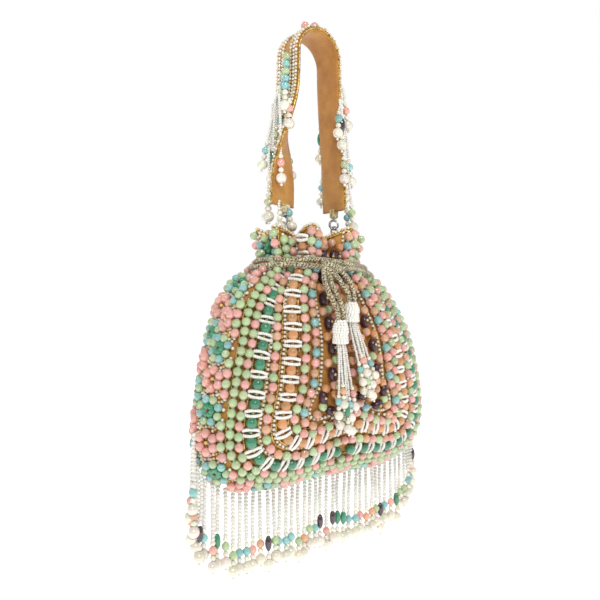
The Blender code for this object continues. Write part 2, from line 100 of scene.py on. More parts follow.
# Drawstring and tassels
CORD = 3.2
CORD_LOOPS = {"neck_cord_upper": 3.0, "neck_cord_lower": -0.6}
CORD_RISE, CORD_CLEAR = 1.6, 2.2
KNOT = (-11.0, -38.4, -163.0)
TASSELS = {
    "left": ((-11.5, -48.5, -195.0), 13.0, (-10.0, -53.0, -267.0), (11.0, 5.5)),
    "right": ((-1.0, -46.5, -184.0), 11.0, (9.5, -52.5, -247.0), (9.0, 5.0)),
}
CAP_R, STRANDS = 5.2, 10
# Each tail's sideways shift above its cap and in it, and its route out of the knot
TAILS = {
    "tail_left_outer": (-2.2, -2.0, [(-13.5, -37.0, -157.5), (-16.6, -38.4, -163.5), (-17.8, -40.2, -168.6),
                                     (-17.4, -44.0, -177.0)]),
    "tail_left_inner": (2.2, 2.0, [(-16.0, -36.6, -157.0), (-14.0, -38.2, -163.5), (-13.4, -40.2, -169.0),
                                   (-12.0, -44.2, -177.0)]),
    "tail_right_outer": (-2.4, -2.0, [(-18.0, -38.0, -161.0), (-13.5, -39.8, -163.0), (-9.2, -41.2, -166.6),
                                      (-6.6, -43.8, -171.6)]),
    "tail_right_inner": (2.0, 2.0, [(-16.5, -36.0, -159.0), (-10.5, -37.4, -160.6), (-5.4, -39.0, -162.8),
                                    (-1.6, -42.4, -167.6)]),
}

# Fringe: the seam's height where it begins, its length and its number of CAD pieces
FRINGE_TOP_Z, FRINGE_LENGTH, FRINGE_PIECES = -262.0, 55.5, 14

# Bead strings on the strap: top, foot, and the beads at the end
STRAP_STRINGS = {
    "left": [
        ((-22.8, -5.8, -17.9), (-26.5, -9.0, -56.8), "column"),
        ((-23.5, -10.3, -49.4), (-24.0, -10.4, -71.5), "pink"),
        ((-29.0, -6.1, -46.4), (-28.0, -7.4, -107.2), "pink"),
        ((-22.8, 1.4, -38.0), (-26.5, 4.8, -86.0), "green"),
        ((-22.6, 3.8, -38.4), (-32.1, 11.2, -95.5), "teal"),
        ((-26.0, 2.8, -46.6), (-28.6, 3.9, -105.6), "emerald"),
        ((-25.1, 7.2, -48.6), (-28.1, 10.7, -130.4), "pink"),
        ((-30.6, 3.6, -80.5), (-30.8, 3.4, -131.4), "green"),
        ((-17.5, 1.5, -116.5), (-17.3, -5.5, -137.6), "teal"),
        ((-27.5, -4.5, -115.8), (-27.4, -4.6, -138.6), "pearl"),
        ((-13.2, 10.4, -64.0), (-8.6, 8.0, -100.7), "green"),
    ],
    "right": [
        ((20.0, -12.0, -33.0), (26.9, -10.7, -64.1), "pink"),
        ((17.0, -13.0, -42.7), (14.0, -14.0, -71.9), "teal"),
        ((18.5, -13.4, -46.6), (18.0, -14.0, -79.7), "maroon"),
        ((20.5, -12.6, -56.6), (20.0, -14.4, -102.9), "green"),
        ((24.0, -8.0, -56.4), (32.8, -7.7, -102.4), "teal"),
        ((24.4, -8.8, -72.7), (27.4, -6.7, -114.4), "emerald"),
        ((26.0, -10.0, -84.2), (32.4, -9.8, -135.2), "green"),
        ((27.0, -5.0, -88.7), (32.0, -4.6, -138.0), "teal"),
        ((20.5, 13.6, -54.0), (20.5, 14.8, -83.3), "emerald"),
        ((23.5, 14.6, -70.6), (22.5, 15.8, -114.6), "teal"),
    ],
}

# Stage: the camera looks level from its azimuth; lights have a place, a size and a power
CAMERA_TURN, CAMERA_AWAY, CAMERA_Z, CAMERA_SHIFT = math.radians(-37), 0.42, -0.182, -16 / 600
FLOOR_Z, FLOOR_HALF = -520, 4000
LIGHTS = {
    "key_light": ((-0.55, -0.95, 0.75), 0.22, 9),
    "fill_light": ((0.9, -0.8, 0.1), 0.9, 1.5),
    "back_light": ((0.3, 1.0, 0.6), 0.8, 3),
}


# ---------------------------------------------------------------- colours and sizes to change

def linear(code):
    """An sRGB hex value as linear red, green and blue."""
    parts = [int(code[k:k + 2], 16) / 255 for k in (0, 2, 4)]
    return tuple(c / 12.92 if c <= 0.04045 else ((c + 0.055) / 1.055) ** 2.4 for c in parts)


def colour_choice(name, code, words):
    return bpy.props.FloatVectorProperty(
        name=name, description=words, subtype="COLOR", size=3, min=0, max=1, default=linear(code))


def size_choice(name, value, words):
    return bpy.props.FloatProperty(name=name, description=words, default=value, min=0.1, unit="NONE")


class PotliColours(bpy.types.PropertyGroup):
    """Colours of the beads and pearls."""
    pink: colour_choice("Pink", "F5B5A8", "Pink jade glass beads")
    green: colour_choice("Green", "C0D6A2", "Light green jade glass beads")
    teal: colour_choice("Teal", "93CBC9", "Blue-green jade glass beads")
    peach: colour_choice("Peach", "E6B08A", "Peach jade glass beads")
    amber: colour_choice("Amber", "DA9A5E", "Amber beads of the inner ladder")
    emerald: colour_choice("Emerald", "2C8C62", "Dark green glass beads")
    maroon: colour_choice("Maroon", "3A1C28", "Dark faceted glass ovals")
    pearl: colour_choice("Pearl", "DFD9C8", "Pearls")
    seed: colour_choice("Seed", "EAE7DF", "White seed beads")
    string: colour_choice("String", "E0DDD5", "Silvery strung seed beads")
    gold: colour_choice("Gold", "D9B36C", "Gold seed beads")


class PotliSizes(bpy.types.PropertyGroup):
    """Sizes of the beadwork in millimetres."""
    bead: size_choice("Bead", 5.9, "Diameter of a round bead, in millimetres")
    seed: size_choice("Seed", 2.2, "Diameter of a seed bead, in millimetres")
    pitch: size_choice("Pitch", 6.2, "Distance from bead to bead along a row, in millimetres")
    flower: size_choice("Flower", 19.0, "Distance from flower to flower, in millimetres")
    thread: size_choice("Thread", 0.8, "Thickness of the couched gold thread, in millimetres")
    fringe: size_choice("Fringe", 5.0, "Distance between the fringe's strings, in millimetres")


def tone(name):
    return np.array(getattr(bpy.context.scene.potli_colours, name))


def in_turn(names, count):
    """The named tones one after another, over and over."""
    return np.array([tone(names[k % len(names)]) for k in range(count)])


def sizes():
    return bpy.context.scene.potli_sizes


# ---------------------------------------------------------------- materials

def add_node(tree, kind, settings=None, links=None):
    """Adds one node, sets its sockets or attributes by name, and links its inputs to other sockets."""
    node = tree.nodes.new(kind)
    for key, value in (settings or {}).items():
        if isinstance(key, int) or key in node.inputs:
            node.inputs[key].default_value = value
        else:
            setattr(node, key, value)
    for key, source in (links or {}).items():
        tree.links.new(source, node.inputs[key])
    return node


def new_finish(name, **sockets):
    """A new material and its shader, with the given constants on the shader's own sockets."""
    made = bpy.data.materials.new(name)
    made.use_nodes = True
    tree = made.node_tree
    shader = tree.nodes["Principled BSDF"]
    for key, value in sockets.items():
        shader.inputs[key.replace("_", " ")].default_value = value
    return made, tree, shader


def once(make):
    """Makes a material on its first call and returns the same one afterwards."""
    def get():
        found = bpy.data.materials.get(make.__name__)
        return found or make(make.__name__)
    return get


def calculate(tree, operation, *values):
    """The result of a math node on numbers and sockets, given in the order of its inputs."""
    node = add_node(tree, "ShaderNodeMath", {"operation": operation})
    for slot, value in zip(node.inputs, values):
        if isinstance(value, bpy.types.NodeSocket):
            tree.links.new(value, slot)
        else:
            slot.default_value = value
    return node.outputs[0]


def noise_in(tree, scale, detail=2.0):
    """Noise in the piece's own coordinates, with the given number of grains to the metre."""
    place = add_node(tree, "ShaderNodeTexCoord")
    noise = add_node(tree, "ShaderNodeTexNoise", {"Scale": scale, "Detail": detail},
                     {"Vector": place.outputs["Object"]})
    return noise.outputs["Fac"]


def two_tones(tree, shader, value, dark, light):
    """Base colour between a dark and a light stop, each a position and a colour, read at the value."""
    ramp = add_node(tree, "ShaderNodeValToRGB", links={"Fac": value})
    for stop, (position, code) in zip(ramp.color_ramp.elements, (dark, light)):
        stop.position, stop.color = position, (*linear(code), 1)
    tree.links.new(ramp.outputs["Color"], shader.inputs["Base Color"])


def add_bump(tree, shader, height, strength, depth):
    bump = add_node(tree, "ShaderNodeBump", {"Strength": strength, "Distance": depth}, {"Height": height})
    tree.links.new(bump.outputs["Normal"], shader.inputs["Normal"])


def bead_finish(name, scale, low, high, **sockets):
    """A finish in the bead's own tint, varied by a fine noise from low to high brightness."""
    made, tree, shader = new_finish(name, **sockets)
    tint = add_node(tree, "ShaderNodeAttribute", {"attribute_name": "tint"})
    level = add_node(tree, "ShaderNodeMapRange", {"To Min": low, "To Max": high},
                     {"Value": noise_in(tree, scale)})
    mixed = add_node(tree, "ShaderNodeVectorMath", {"operation": "SCALE"},
                     {"Vector": tint.outputs["Color"], "Scale": level.outputs["Result"]})
    tree.links.new(mixed.outputs["Vector"], shader.inputs["Base Color"])
    return made


def woven_finish(name, dark, light, grain, threads, depth, **sockets):
    """Cloth: two tones mixed by a slow noise, and a bump from two crossed sets of threads to the metre."""
    made, tree, shader = new_finish(name, **sockets)
    two_tones(tree, shader, noise_in(tree, grain, 4.0), (0.35, dark), (0.68, light))
    place = add_node(tree, "ShaderNodeTexCoord")
    scaled = add_node(tree, "ShaderNodeVectorMath", {"operation": "SCALE", "Scale": threads * math.pi},
                      {"Vector": place.outputs["UV"]})
    split = add_node(tree, "ShaderNodeSeparateXYZ", links={"Vector": scaled.outputs["Vector"]})
    warp, weft = calculate(tree, "SINE", split.outputs["X"]), calculate(tree, "SINE", split.outputs["Y"])
    add_bump(tree, shader, calculate(tree, "MULTIPLY", warp, weft), 0.5, depth)
    return made


@once
def jade_glass(name):
    # Moulded milky glass: light enters and spreads, so the bead glows softly, with a small sharp glint.
    return bead_finish(name, 420.0, 0.86, 1.18, Roughness=0.08, IOR=1.55, Transmission_Weight=0.3,
                       Subsurface_Weight=0.15, Subsurface_Scale=0.002, Coat_Weight=1.0, Coat_Roughness=0.04)


@once
def pearl_lustre(name):
    # Dipped imitation pearl: a smooth cream body under a thin, clear, lustrous coat.
    return bead_finish(name, 260.0, 0.94, 1.06, Roughness=0.18, IOR=1.6, Metallic=0.12, Coat_Weight=0.8,
                       Coat_Roughness=0.05, Sheen_Weight=0.15)


@once
def seed_glass(name):
    # Opaque rocaille glass: tiny glossy drops, each with its own small highlight.
    return bead_finish(name, 600.0, 0.9, 1.1, Roughness=0.22, IOR=1.5, Coat_Weight=0.3, Coat_Roughness=0.1)


@once
def gold_zari(name):
    # Metal-wrapped zari thread, couched down: warm gold that breaks up about every millimetre.
    made, tree, shader = new_finish(name, Metallic=0.75, Roughness=0.36)
    two_tones(tree, shader, noise_in(tree, 900.0, 1.0), (0.35, "7A5420"), (0.6, "E2BD72"))
    return made


@once
def tan_satin(name):
    # Polyester satin with a dense weave: soft sheen, threads about 0.35 mm apart (drawn at 0.5 mm to show).
    return woven_finish(name, "A56B26", "C18C3E", 60.0, 2000.0, 0.00008, Roughness=0.52, Sheen_Weight=0.3,
                        Sheen_Roughness=0.4)


@once
def lining_cotton(name):
    # Plain cotton lining: matt, a little darker than the satin, threads 0.6 mm apart.
    return woven_finish(name, "8A5524", "A0682F", 40.0, 1600.0, 0.0001, Roughness=0.85, Sheen_Weight=0.1)


@once
def braid_tape(name):
    # Narrow woven tape in cream and olive, with ribs about 0.8 mm apart.
    return woven_finish(name, "A08A52", "D8CBA0", 700.0, 1250.0, 0.0002, Roughness=0.7, Sheen_Weight=0.2)


@once
def metallic_braid(name):
    # Braided lurex cord: cream strands lie in chevrons round it, broken by thin uneven dark olive lines.
    made, tree, shader = new_finish(name, Metallic=0.15, Roughness=0.45, Sheen_Weight=0.2)
    noise = noise_in(tree, 700.0)
    place = add_node(tree, "ShaderNodeTexCoord")
    split = add_node(tree, "ShaderNodeSeparateXYZ", links={"Vector": place.outputs["UV"]})
    slant = calculate(tree, "MULTIPLY", calculate(tree, "PINGPONG", split.outputs["X"], 0.17), 3.4)
    both = calculate(tree, "MULTIPLY_ADD", split.outputs["Y"], 1.6, slant)
    bent = calculate(tree, "MULTIPLY_ADD", noise, 2.2, both)
    cross = calculate(tree, "SINE", calculate(tree, "MULTIPLY", bent, 2 * math.pi))
    level = calculate(tree, "MULTIPLY_ADD", noise, 0.8, cross)
    two_tones(tree, shader, level, (0.05, "5E5232"), (0.4, "D8CDA9"))
    add_bump(tree, shader, cross, 0.9, 0.0003)
    return made


@once
def nickel_plate(name):
    # Die-cast zinc with bright nickel plating: sharp reflections, faintly rippled by polishing.
    made, tree, shader = new_finish(name, Metallic=1.0, Roughness=0.2)
    shader.inputs["Base Color"].default_value = (*linear("C9C6C0"), 1)
    add_bump(tree, shader, noise_in(tree, 700.0), 0.15, 0.0001)
    return made


@once
def studio_white(name):
    # Matt white paper sweep, lifted by a little light of its own so that it stays clean white.
    made, _, shader = new_finish(name, Roughness=0.9, Emission_Strength=0.75)
    shader.inputs["Base Color"].default_value = (0.9, 0.9, 0.9, 1)
    shader.inputs["Emission Color"].default_value = (1, 1, 1, 1)
    return made


# ---------------------------------------------------------------- meshes from arrays

def to_mesh(name, points, faces, material, tint=None, uv=None):
    """One mesh object from points in millimetres and equal-sided faces, with tint and UV per point."""
    points, faces = np.asarray(points, float), np.asarray(faces, int)
    mesh = bpy.data.meshes.new(name)
    mesh.vertices.add(len(points))
    mesh.vertices.foreach_set("co", (points * MM).ravel())
    sides = faces.shape[1]
    mesh.loops.add(faces.size)
    mesh.loops.foreach_set("vertex_index", faces.ravel())
    mesh.polygons.add(len(faces))
    mesh.polygons.foreach_set("loop_start", np.arange(0, faces.size, sides))
    mesh.polygons.foreach_set("use_smooth", np.full(len(faces), True))
    if uv is not None:
        layer = mesh.uv_layers.new(name="UVMap")
        layer.data.foreach_set("uv", np.asarray(uv, float)[faces.ravel()].ravel())
    if tint is not None:
        layer = mesh.color_attributes.new("tint", "FLOAT_COLOR", "POINT")
        rgba = np.concatenate([tint, np.ones((len(points), 1))], axis=1)
        layer.data.foreach_set("color", rgba.ravel())
    mesh.update(calc_edges=True)
    mesh.validate()
    made = bpy.data.objects.new(name, mesh)
    bpy.context.collection.objects.link(made)
    mesh.materials.append(material)
    return made


def unit(vectors):
    """Each vector at length one."""
    return vectors / np.linalg.norm(vectors, axis=1, keepdims=True)


def arc_lengths(points):
    """Length along a line of points, from its first point to each."""
    return np.concatenate([[0], np.cumsum(np.linalg.norm(np.diff(points, axis=0), axis=1))])


def flat_arc(x, z):
    """Length along a line given by its two coordinates, from its first point to each."""
    return np.concatenate([[0], np.cumsum(np.hypot(np.diff(x), np.diff(z)))])


def ball(sides, rings):
    """A unit ball with its poles on Z: rings of points at even angles, and triangles between them."""
    lifts = np.linspace(0, math.pi, rings + 1)[1:-1]
    turns = np.arange(sides) * 2 * math.pi / sides
    belt = [(math.sin(a) * math.cos(t), math.sin(a) * math.sin(t), math.cos(a)) for a in lifts for t in turns]
    points = np.array([(0, 0, 1), *belt, (0, 0, -1)])
    k = np.arange(sides)
    following = (k + 1) % sides
    faces = [np.stack([0 * k, 1 + k, 1 + following], axis=1)]
    for row in range(rings - 2):
        a, b = 1 + row * sides + k, 1 + row * sides + following
        faces += [np.stack([a, a + sides, b], axis=1), np.stack([b, a + sides, b + sides], axis=1)]
    low = 1 + (rings - 2) * sides
    faces.append(np.stack([low + k, 0 * k + len(points) - 1, low + following], axis=1))
    return points, np.concatenate(faces)


ROUND, SEED, LARGE = ball(10, 6), ball(6, 4), ball(14, 8)


class Beads:
    """A growing list of beads, each a stretched copy of one ball, that ends as one mesh."""

    def __init__(self, shape, seed=1):
        self.shape, self.parts, self.chance = shape, [], np.random.default_rng(seed)

    def add(self, centres, radii, tint, axis=(0, 0, 1), stretch=1.0, vary=0.1):
        """Beads at the centres; `stretch` lengthens them along their axis; `vary` changes their tone."""
        centres = np.atleast_2d(np.asarray(centres, float))
        if not len(centres):
            return
        count = len(centres)
        axis = np.broadcast_to(np.asarray(axis, float), centres.shape)
        radii = np.broadcast_to(np.asarray(radii, float), (count,))
        stretch = np.broadcast_to(np.asarray(stretch, float), (count,))
        tint = np.broadcast_to(np.asarray(tint, float), (count, 3))
        tint = tint * (1 + vary * self.chance.uniform(-1, 1, (count, 1)))
        tint = tint * (1 + 0.4 * vary * self.chance.uniform(-1, 1, (count, 3)))
        self.parts.append((centres, radii, stretch, axis, np.clip(tint, 0, 1)))

    def centres(self):
        centres, radii = [np.concatenate([part[k] for part in self.parts]) for k in (0, 1)]
        return centres, radii

    def build(self, name, material):
        """Every bead's points are centre + side·x + other side·y + axis·z of the unit ball, scaled."""
        centres, radii, stretch, axis, tint = [np.concatenate(column) for column in zip(*self.parts)]
        points, faces = self.shape
        axis = unit(axis)
        helper = np.where(np.abs(axis[:, 2:]) < 0.9, (0.0, 0.0, 1.0), (1.0, 0.0, 0.0))
        side = unit(np.cross(helper, axis))
        other = np.cross(axis, side)
        frames = np.stack([side, other, axis * stretch[:, None]], axis=1) * radii[:, None, None]
        placed = centres[:, None, :] + np.einsum("pk,bkc->bpc", points, frames)
        numbers = faces[None] + (np.arange(len(centres)) * len(points))[:, None, None]
        tints = np.repeat(tint, len(points), axis=0)
        return to_mesh(name, placed.reshape(-1, 3), numbers.reshape(-1, 3), material, tint=tints)


def tube_arrays(path, radius, sides, lift=None, closed=False):
    """A round tube: circles square to the path, carried without twist; UV is turn and length in cord widths."""
    path = np.asarray(path, float)
    ahead = np.roll(path, -1, axis=0) - np.roll(path, 1, axis=0)
    if not closed:
        ahead[0], ahead[-1] = path[1] - path[0], path[-1] - path[-2]
    ahead = unit(ahead)
    lift = np.broadcast_to(np.asarray(lift if lift is not None else (0.13, 0.02, 0.99), float), path.shape)
    side = unit(np.cross(ahead, lift))
    up = np.cross(side, ahead)
    rows = len(path) + (1 if closed else 0)
    order = np.arange(rows) % len(path)
    turns = np.linspace(0, 2 * math.pi, sides + 1)
    radius = np.broadcast_to(np.asarray(radius, float), (len(path),))[order, None, None]
    ring = np.cos(turns)[None, :, None] * side[order, None] + np.sin(turns)[None, :, None] * up[order, None]
    points = path[order, None] + ring * radius
    arc = arc_lengths(path[order])
    uv = np.stack(np.broadcast_arrays(turns[None] / (2 * math.pi), arc[:, None] / CORD), axis=-1)
    return points, uv


def grid_faces(rows, columns, start=0):
    """Quads between neighbouring rows and columns of a grid."""
    a = start + (np.arange(rows - 1)[:, None] * columns + np.arange(columns - 1)[None]).ravel()
    return np.stack([a, a + 1, a + columns + 1, a + columns], axis=1)


def finish_closed(obj):
    """Merges doubled points, closes open ends and turns the faces outward."""
    builder = bmesh.new()
    builder.from_mesh(obj.data)
    bmesh.ops.remove_doubles(builder, verts=builder.verts, dist=WELD)
    bmesh.ops.holes_fill(builder, edges=[e for e in builder.edges if e.is_boundary], sides=0)
    bmesh.ops.recalc_face_normals(builder, faces=builder.faces)
    builder.to_mesh(obj.data)
    builder.free()
    return obj


def grid_mesh(name, points, uv, material):
    """A closed mesh from one grid of points."""
    faces = grid_faces(*points.shape[:2])
    return finish_closed(to_mesh(name, points.reshape(-1, 3), faces, material, uv=uv.reshape(-1, 2)))


def make_tube(name, path, radius, material, sides=10, lift=None, closed=False):
    return grid_mesh(name, *tube_arrays(path, radius, sides, lift, closed), material)


def merge_threads(name, runs, radius, sides):
    """Thin gold tubes along the given paths, each with its own upward direction, as one mesh."""
    points, faces, start = [], [], 0
    for path, lift in runs:
        ring, _ = tube_arrays(path, radius, sides, lift=lift)
        points.append(ring.reshape(-1, 3))
        faces.append(grid_faces(*ring.shape[:2], start))
        start += len(points[-1])
    return finish_closed(to_mesh(name, np.concatenate(points), np.concatenate(faces), gold_zari()))


def place(piece, body, slot, *nodes):
    """Says which body the piece moves with and which CAD nodes it stands for; the slot is not used."""
    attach(piece, body)
    if nodes:
        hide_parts(*nodes)
    return piece


# ---------------------------------------------------------------- curves

def smooth_step(value):
    value = np.clip(value, 0.0, 1.0)
    return value * value * (3 - 2 * value)


def curve_through(levels, values, at):
    """A smooth curve through the given values (Catmull-Rom on uneven steps)."""
    levels, values = np.asarray(levels, float), np.asarray(values, float)
    slopes = np.gradient(values, levels)
    at = np.clip(np.asarray(at, float), levels[0], levels[-1])
    k = np.clip(np.searchsorted(levels, at) - 1, 0, len(levels) - 2)
    step = levels[k + 1] - levels[k]
    t = (at - levels[k]) / step
    start = (2 * t**3 - 3 * t**2 + 1) * values[k] + (t**3 - 2 * t**2 + t) * step * slopes[k]
    end = (3 * t**2 - 2 * t**3) * values[k + 1] + (t**3 - t**2) * step * slopes[k + 1]
    return start + end


def smooth_route(points, count):
    """Points read from a smooth curve through the route's own points."""
    points = np.array(points, float)
    arc = arc_lengths(points)
    at = np.linspace(0, arc[-1], count)
    return np.stack([curve_through(arc, points[:, k], at) for k in range(3)], axis=-1)


# ---------------------------------------------------------------- the pouch's cloth

def half_width(z):
    return curve_through(LEVELS, HALF_WIDTHS, z)


def half_depth(z):
    return curve_through(LEVELS, HALF_DEPTHS, z)


def pleat(share, z):
    """Depth of the pleats: a cosine of the share, deeper upwards, with the seam pulled in at the mouth."""
    phase = np.interp(share, PLEAT_TURNS, np.arange(len(PLEAT_TURNS)) * math.pi)
    depth = curve_through(PLEAT_LEVELS, PLEAT_DEPTHS, z)
    pulled = SEAM_PULL * smooth_step((z - NECK_Z) / 22) * smooth_step((share - 0.8) / 0.2)
    tuck = 6.0 * np.exp(-((share / 0.09) ** 2)) * np.exp(-(((z + 176) / 16) ** 2))
    return depth * (1 + np.cos(phase)) / 2 + pulled + tuck


def even_profile(reach, depth, power, shares):
    """Points at even arc lengths on a quarter superellipse, as shares of its reach and depth."""
    turns = np.linspace(0, math.pi / 2, 241)
    out, back = np.sin(turns) ** (2 / power), np.cos(turns) ** (2 / power)
    arc = np.concatenate([[0], np.cumsum(np.hypot(np.diff(out) * reach, np.diff(back) * depth))])
    return np.interp(shares * arc[-1], arc, out), np.interp(shares * arc[-1], arc, back)


def lower_seam(count):
    """Even points on the seam from the pouch's middle height round the corner to the bottom."""
    turns = np.linspace(0, math.pi / 2, 721)
    drop = np.sin(turns) ** (2 / SEAM_POWER)
    x = (HALF_WIDTHS[0] + LOWER_SPREAD * drop) * np.cos(turns) ** (2 / SEAM_POWER)
    z = MIDDLE_Z - (MIDDLE_Z - BOTTOM_Z) * drop
    arc = flat_arc(x, z)
    at = np.linspace(0, arc[-1], count)
    return np.interp(at, arc, x), np.interp(at, arc, z)


def quarter(depth):
    """Grid of points of the front right quarter, `depth` under the beads' tops.

    Above the middle each rib is a quarter ellipse at one height, drawn in by the pleats; below it
    the ribs fan from the panel's middle to the seam as quarter superellipses that get flatter.
    """
    shares = np.linspace(0, 1, STEPS + 1)
    across, back = even_profile(HALF_WIDTHS[0], HALF_DEPTHS[0], 2.0, shares)
    down = np.linspace(0, 1, ROWS_UPPER, endpoint=False)[:, None]
    phase = np.interp(shares, PLEAT_TURNS, np.arange(len(PLEAT_TURNS)) * math.pi)
    drop = MOUTH_DIP * (1 + np.cos(phase)) / 2 + SEAM_DIP * smooth_step((shares - 0.7) / 0.3)
    z = EDGE_Z - drop * (1 - down) + (MIDDLE_Z - EDGE_Z) * down
    fold = pleat(shares[None], z)
    x = (half_width(z) - depth - fold) * across
    y = -(half_depth(z) - depth - fold * np.where(shares > 0.9, 0.4, 1.0)) * back
    ribs = list(np.stack([x, y, z], axis=-1))
    for seam_x, seam_z in zip(*lower_seam(ROWS_LOWER)):
        fall = (MIDDLE_Z - seam_z) / (MIDDLE_Z - BOTTOM_Z)
        reach = math.hypot(seam_x, MIDDLE_Z - seam_z)
        trim = 1 - depth / reach
        out, rise = even_profile(reach, HALF_DEPTHS[0], 2.0 + (SAG_POWER - 2.0) * fall, shares)
        rib = (seam_x * out * trim, -(HALF_DEPTHS[0] - depth) * rise,
               MIDDLE_Z + (seam_z - MIDDLE_Z) * out * trim)
        ribs.append(np.stack(rib, axis=-1))
    return np.array(ribs)


def settle(points):
    """Leans the body to +X under the neck and adds the soft dents of a hanging bag."""
    points = np.array(points, float)
    x, y, z = points[..., 0].copy(), points[..., 1].copy(), points[..., 2].copy()
    body = smooth_step((NECK_Z - z) / 30)
    points[..., 0] += LEAN * smooth_step((NECK_Z - 5 - z) / 50)
    points[..., 0] += body * 0.9 * np.sin(z / 23 + 0.7) * np.cos(y / 31)
    points[..., 1] += body * (1.1 * np.sin(x / 27 + 0.4) * np.sin(z / 31) + 0.5 * np.sin(x / 11 + z / 17))
    points[..., 2] += body * 0.6 * np.sin(x / 19 + 1.3)
    return points


MIRRORS = {"front_right": (1, 1), "front_left": (-1, 1), "back_right": (1, -1), "back_left": (-1, -1)}


class Cloth:
    """The cloth's quarter with the directions along a row, across it and out of the cloth."""

    def __init__(self, mirror):
        self.grid = quarter(CLOTH_DEPTH)
        self.mirror = np.array([mirror[0], mirror[1], 1.0])
        along, across = np.gradient(self.grid, axis=0), np.gradient(self.grid, axis=1)
        out = np.cross(along, across)
        size = np.linalg.norm(out, axis=-1, keepdims=True)
        self.out = np.where(size > 1e-6, out / np.maximum(size, 1e-6), (0.0, -1.0, 0.0))
        ribs = np.sum(np.linalg.norm(np.diff(self.grid, axis=1), axis=-1), axis=1)
        self.scale = np.where(np.arange(len(ribs)) > ROWS_UPPER, ribs[ROWS_UPPER] / ribs, 1.0)

    def read(self, table, row, share):
        """Values between the grid's points, weighted by nearness along both directions."""
        i = np.clip(np.floor(row).astype(int), 0, table.shape[0] - 2)
        column = share * STEPS
        j = np.clip(np.floor(column).astype(int), 0, STEPS - 1)
        s, t = (row - i)[:, None], (column - j)[:, None]
        low = table[i, j] * (1 - t) + table[i, j + 1] * t
        high = table[i + 1, j] * (1 - t) + table[i + 1, j + 1] * t
        return low * (1 - s) + high * s

    def rows_along(self, distance, pitch, shift=0.5, top=1.5):
        """Rows and shares of points at an even pitch up a pattern row, from the bottom centre to the mouth."""
        shares = np.maximum(1 - distance / PANEL * self.scale, 0.0)
        line = self.read(self.grid, np.arange(len(self.grid), dtype=float), shares)
        arc = arc_lengths(line[::-1])
        at = np.arange(shift * pitch, arc[-1] - top, pitch)
        rows = np.interp(at, arc, np.arange(len(line))[::-1])
        return rows, np.interp(rows, np.arange(len(line)), shares)

    def at(self, row, share, lift=0.0, aside=0.0, ahead=0.0):
        """Points on the mirrored cloth, moved out, across and along, with their directions."""
        share = np.clip(share + 0 * row, 0, 1)
        point = self.read(self.grid, row, share)
        out = self.read(self.out, row, share)
        out = unit(out)
        near = np.clip(row, 1, len(self.grid) - 2)
        along = self.read(self.grid, near + 1, share) - self.read(self.grid, near - 1, share)
        along -= out * np.sum(along * out, axis=1, keepdims=True)
        along = unit(along)
        across = np.cross(out, along)
        wide = np.reshape(aside, (-1, 1)) if np.ndim(aside) else aside
        long = np.reshape(ahead, (-1, 1)) if np.ndim(ahead) else ahead
        point = point + out * lift + across * wide + along * long
        return settle(point * self.mirror), along * self.mirror, out * self.mirror


def make_bag(name, depth, thickness, material):
    """The four quarters of the cloth joined into one bag with an open mouth and a thin wall."""
    grid = quarter(depth)
    rows, columns = grid.shape[:2]
    arc = np.linspace(0, PANEL, columns) * MM
    length = arc_lengths(grid[:, columns // 2]) * MM
    points, uv, faces = [], [], []
    for number, (sx, sy) in enumerate(MIRRORS.values()):
        points.append(settle(grid * (sx, sy, 1)).reshape(-1, 3))
        uv.append(np.stack(np.broadcast_arrays(arc[None] * sx, length[:, None]), axis=-1).reshape(-1, 2))
        quads = grid_faces(rows, columns, number * rows * columns)
        faces.append(quads[:, ::-1] if sx * sy > 0 else quads)
    bag = to_mesh(name, np.concatenate(points), np.concatenate(faces), material, uv=np.concatenate(uv))
    builder = bmesh.new()
    builder.from_mesh(bag.data)
    bmesh.ops.remove_doubles(builder, verts=builder.verts, dist=WELD)
    bmesh.ops.recalc_face_normals(builder, faces=builder.faces)
    builder.to_mesh(bag.data)
    builder.free()
    wall = bag.modifiers.new("wall", "SOLIDIFY")
    wall.thickness, wall.offset, wall.use_even_offset = thickness * MM, -1.0, False
    return bag


# ---------------------------------------------------------------- beadwork on the pouch

def lay_rows(cloth, rounds, seeds):
    """Single files of round beads, each followed by one white seed bead."""
    radius, pitch = sizes().bead / 2, sizes().pitch
    for number, (distance, words) in enumerate(BEAD_ROWS):
        names = words.split()
        row, share = cloth.rows_along(distance, pitch, shift=0.5 if number % 2 else 0.25)
        jitter = rounds.chance.uniform(-0.25, 0.25, len(row))
        centre, along, _ = cloth.at(row, share, lift=radius * 0.93, aside=jitter)
        rounds.add(centre, radius, in_turn(names, len(row)), axis=along)
        row, share = cloth.rows_along(distance, pitch, shift=1.0 if number % 2 else 0.75)
        centre, along, _ = cloth.at(row, share, lift=1.5)
        seeds.add(centre, sizes().seed / 2, tone("seed"), axis=along)


def lay_pearl_rows(cloth, seeds):
    """Close single files of small pearls."""
    for distance in PEARL_ROWS:
        row, share = cloth.rows_along(distance, 2.7)
        centre, along, _ = cloth.at(row, share, lift=1.0)
        seeds.add(centre, 1.15, tone("pearl"), axis=along, stretch=0.9)


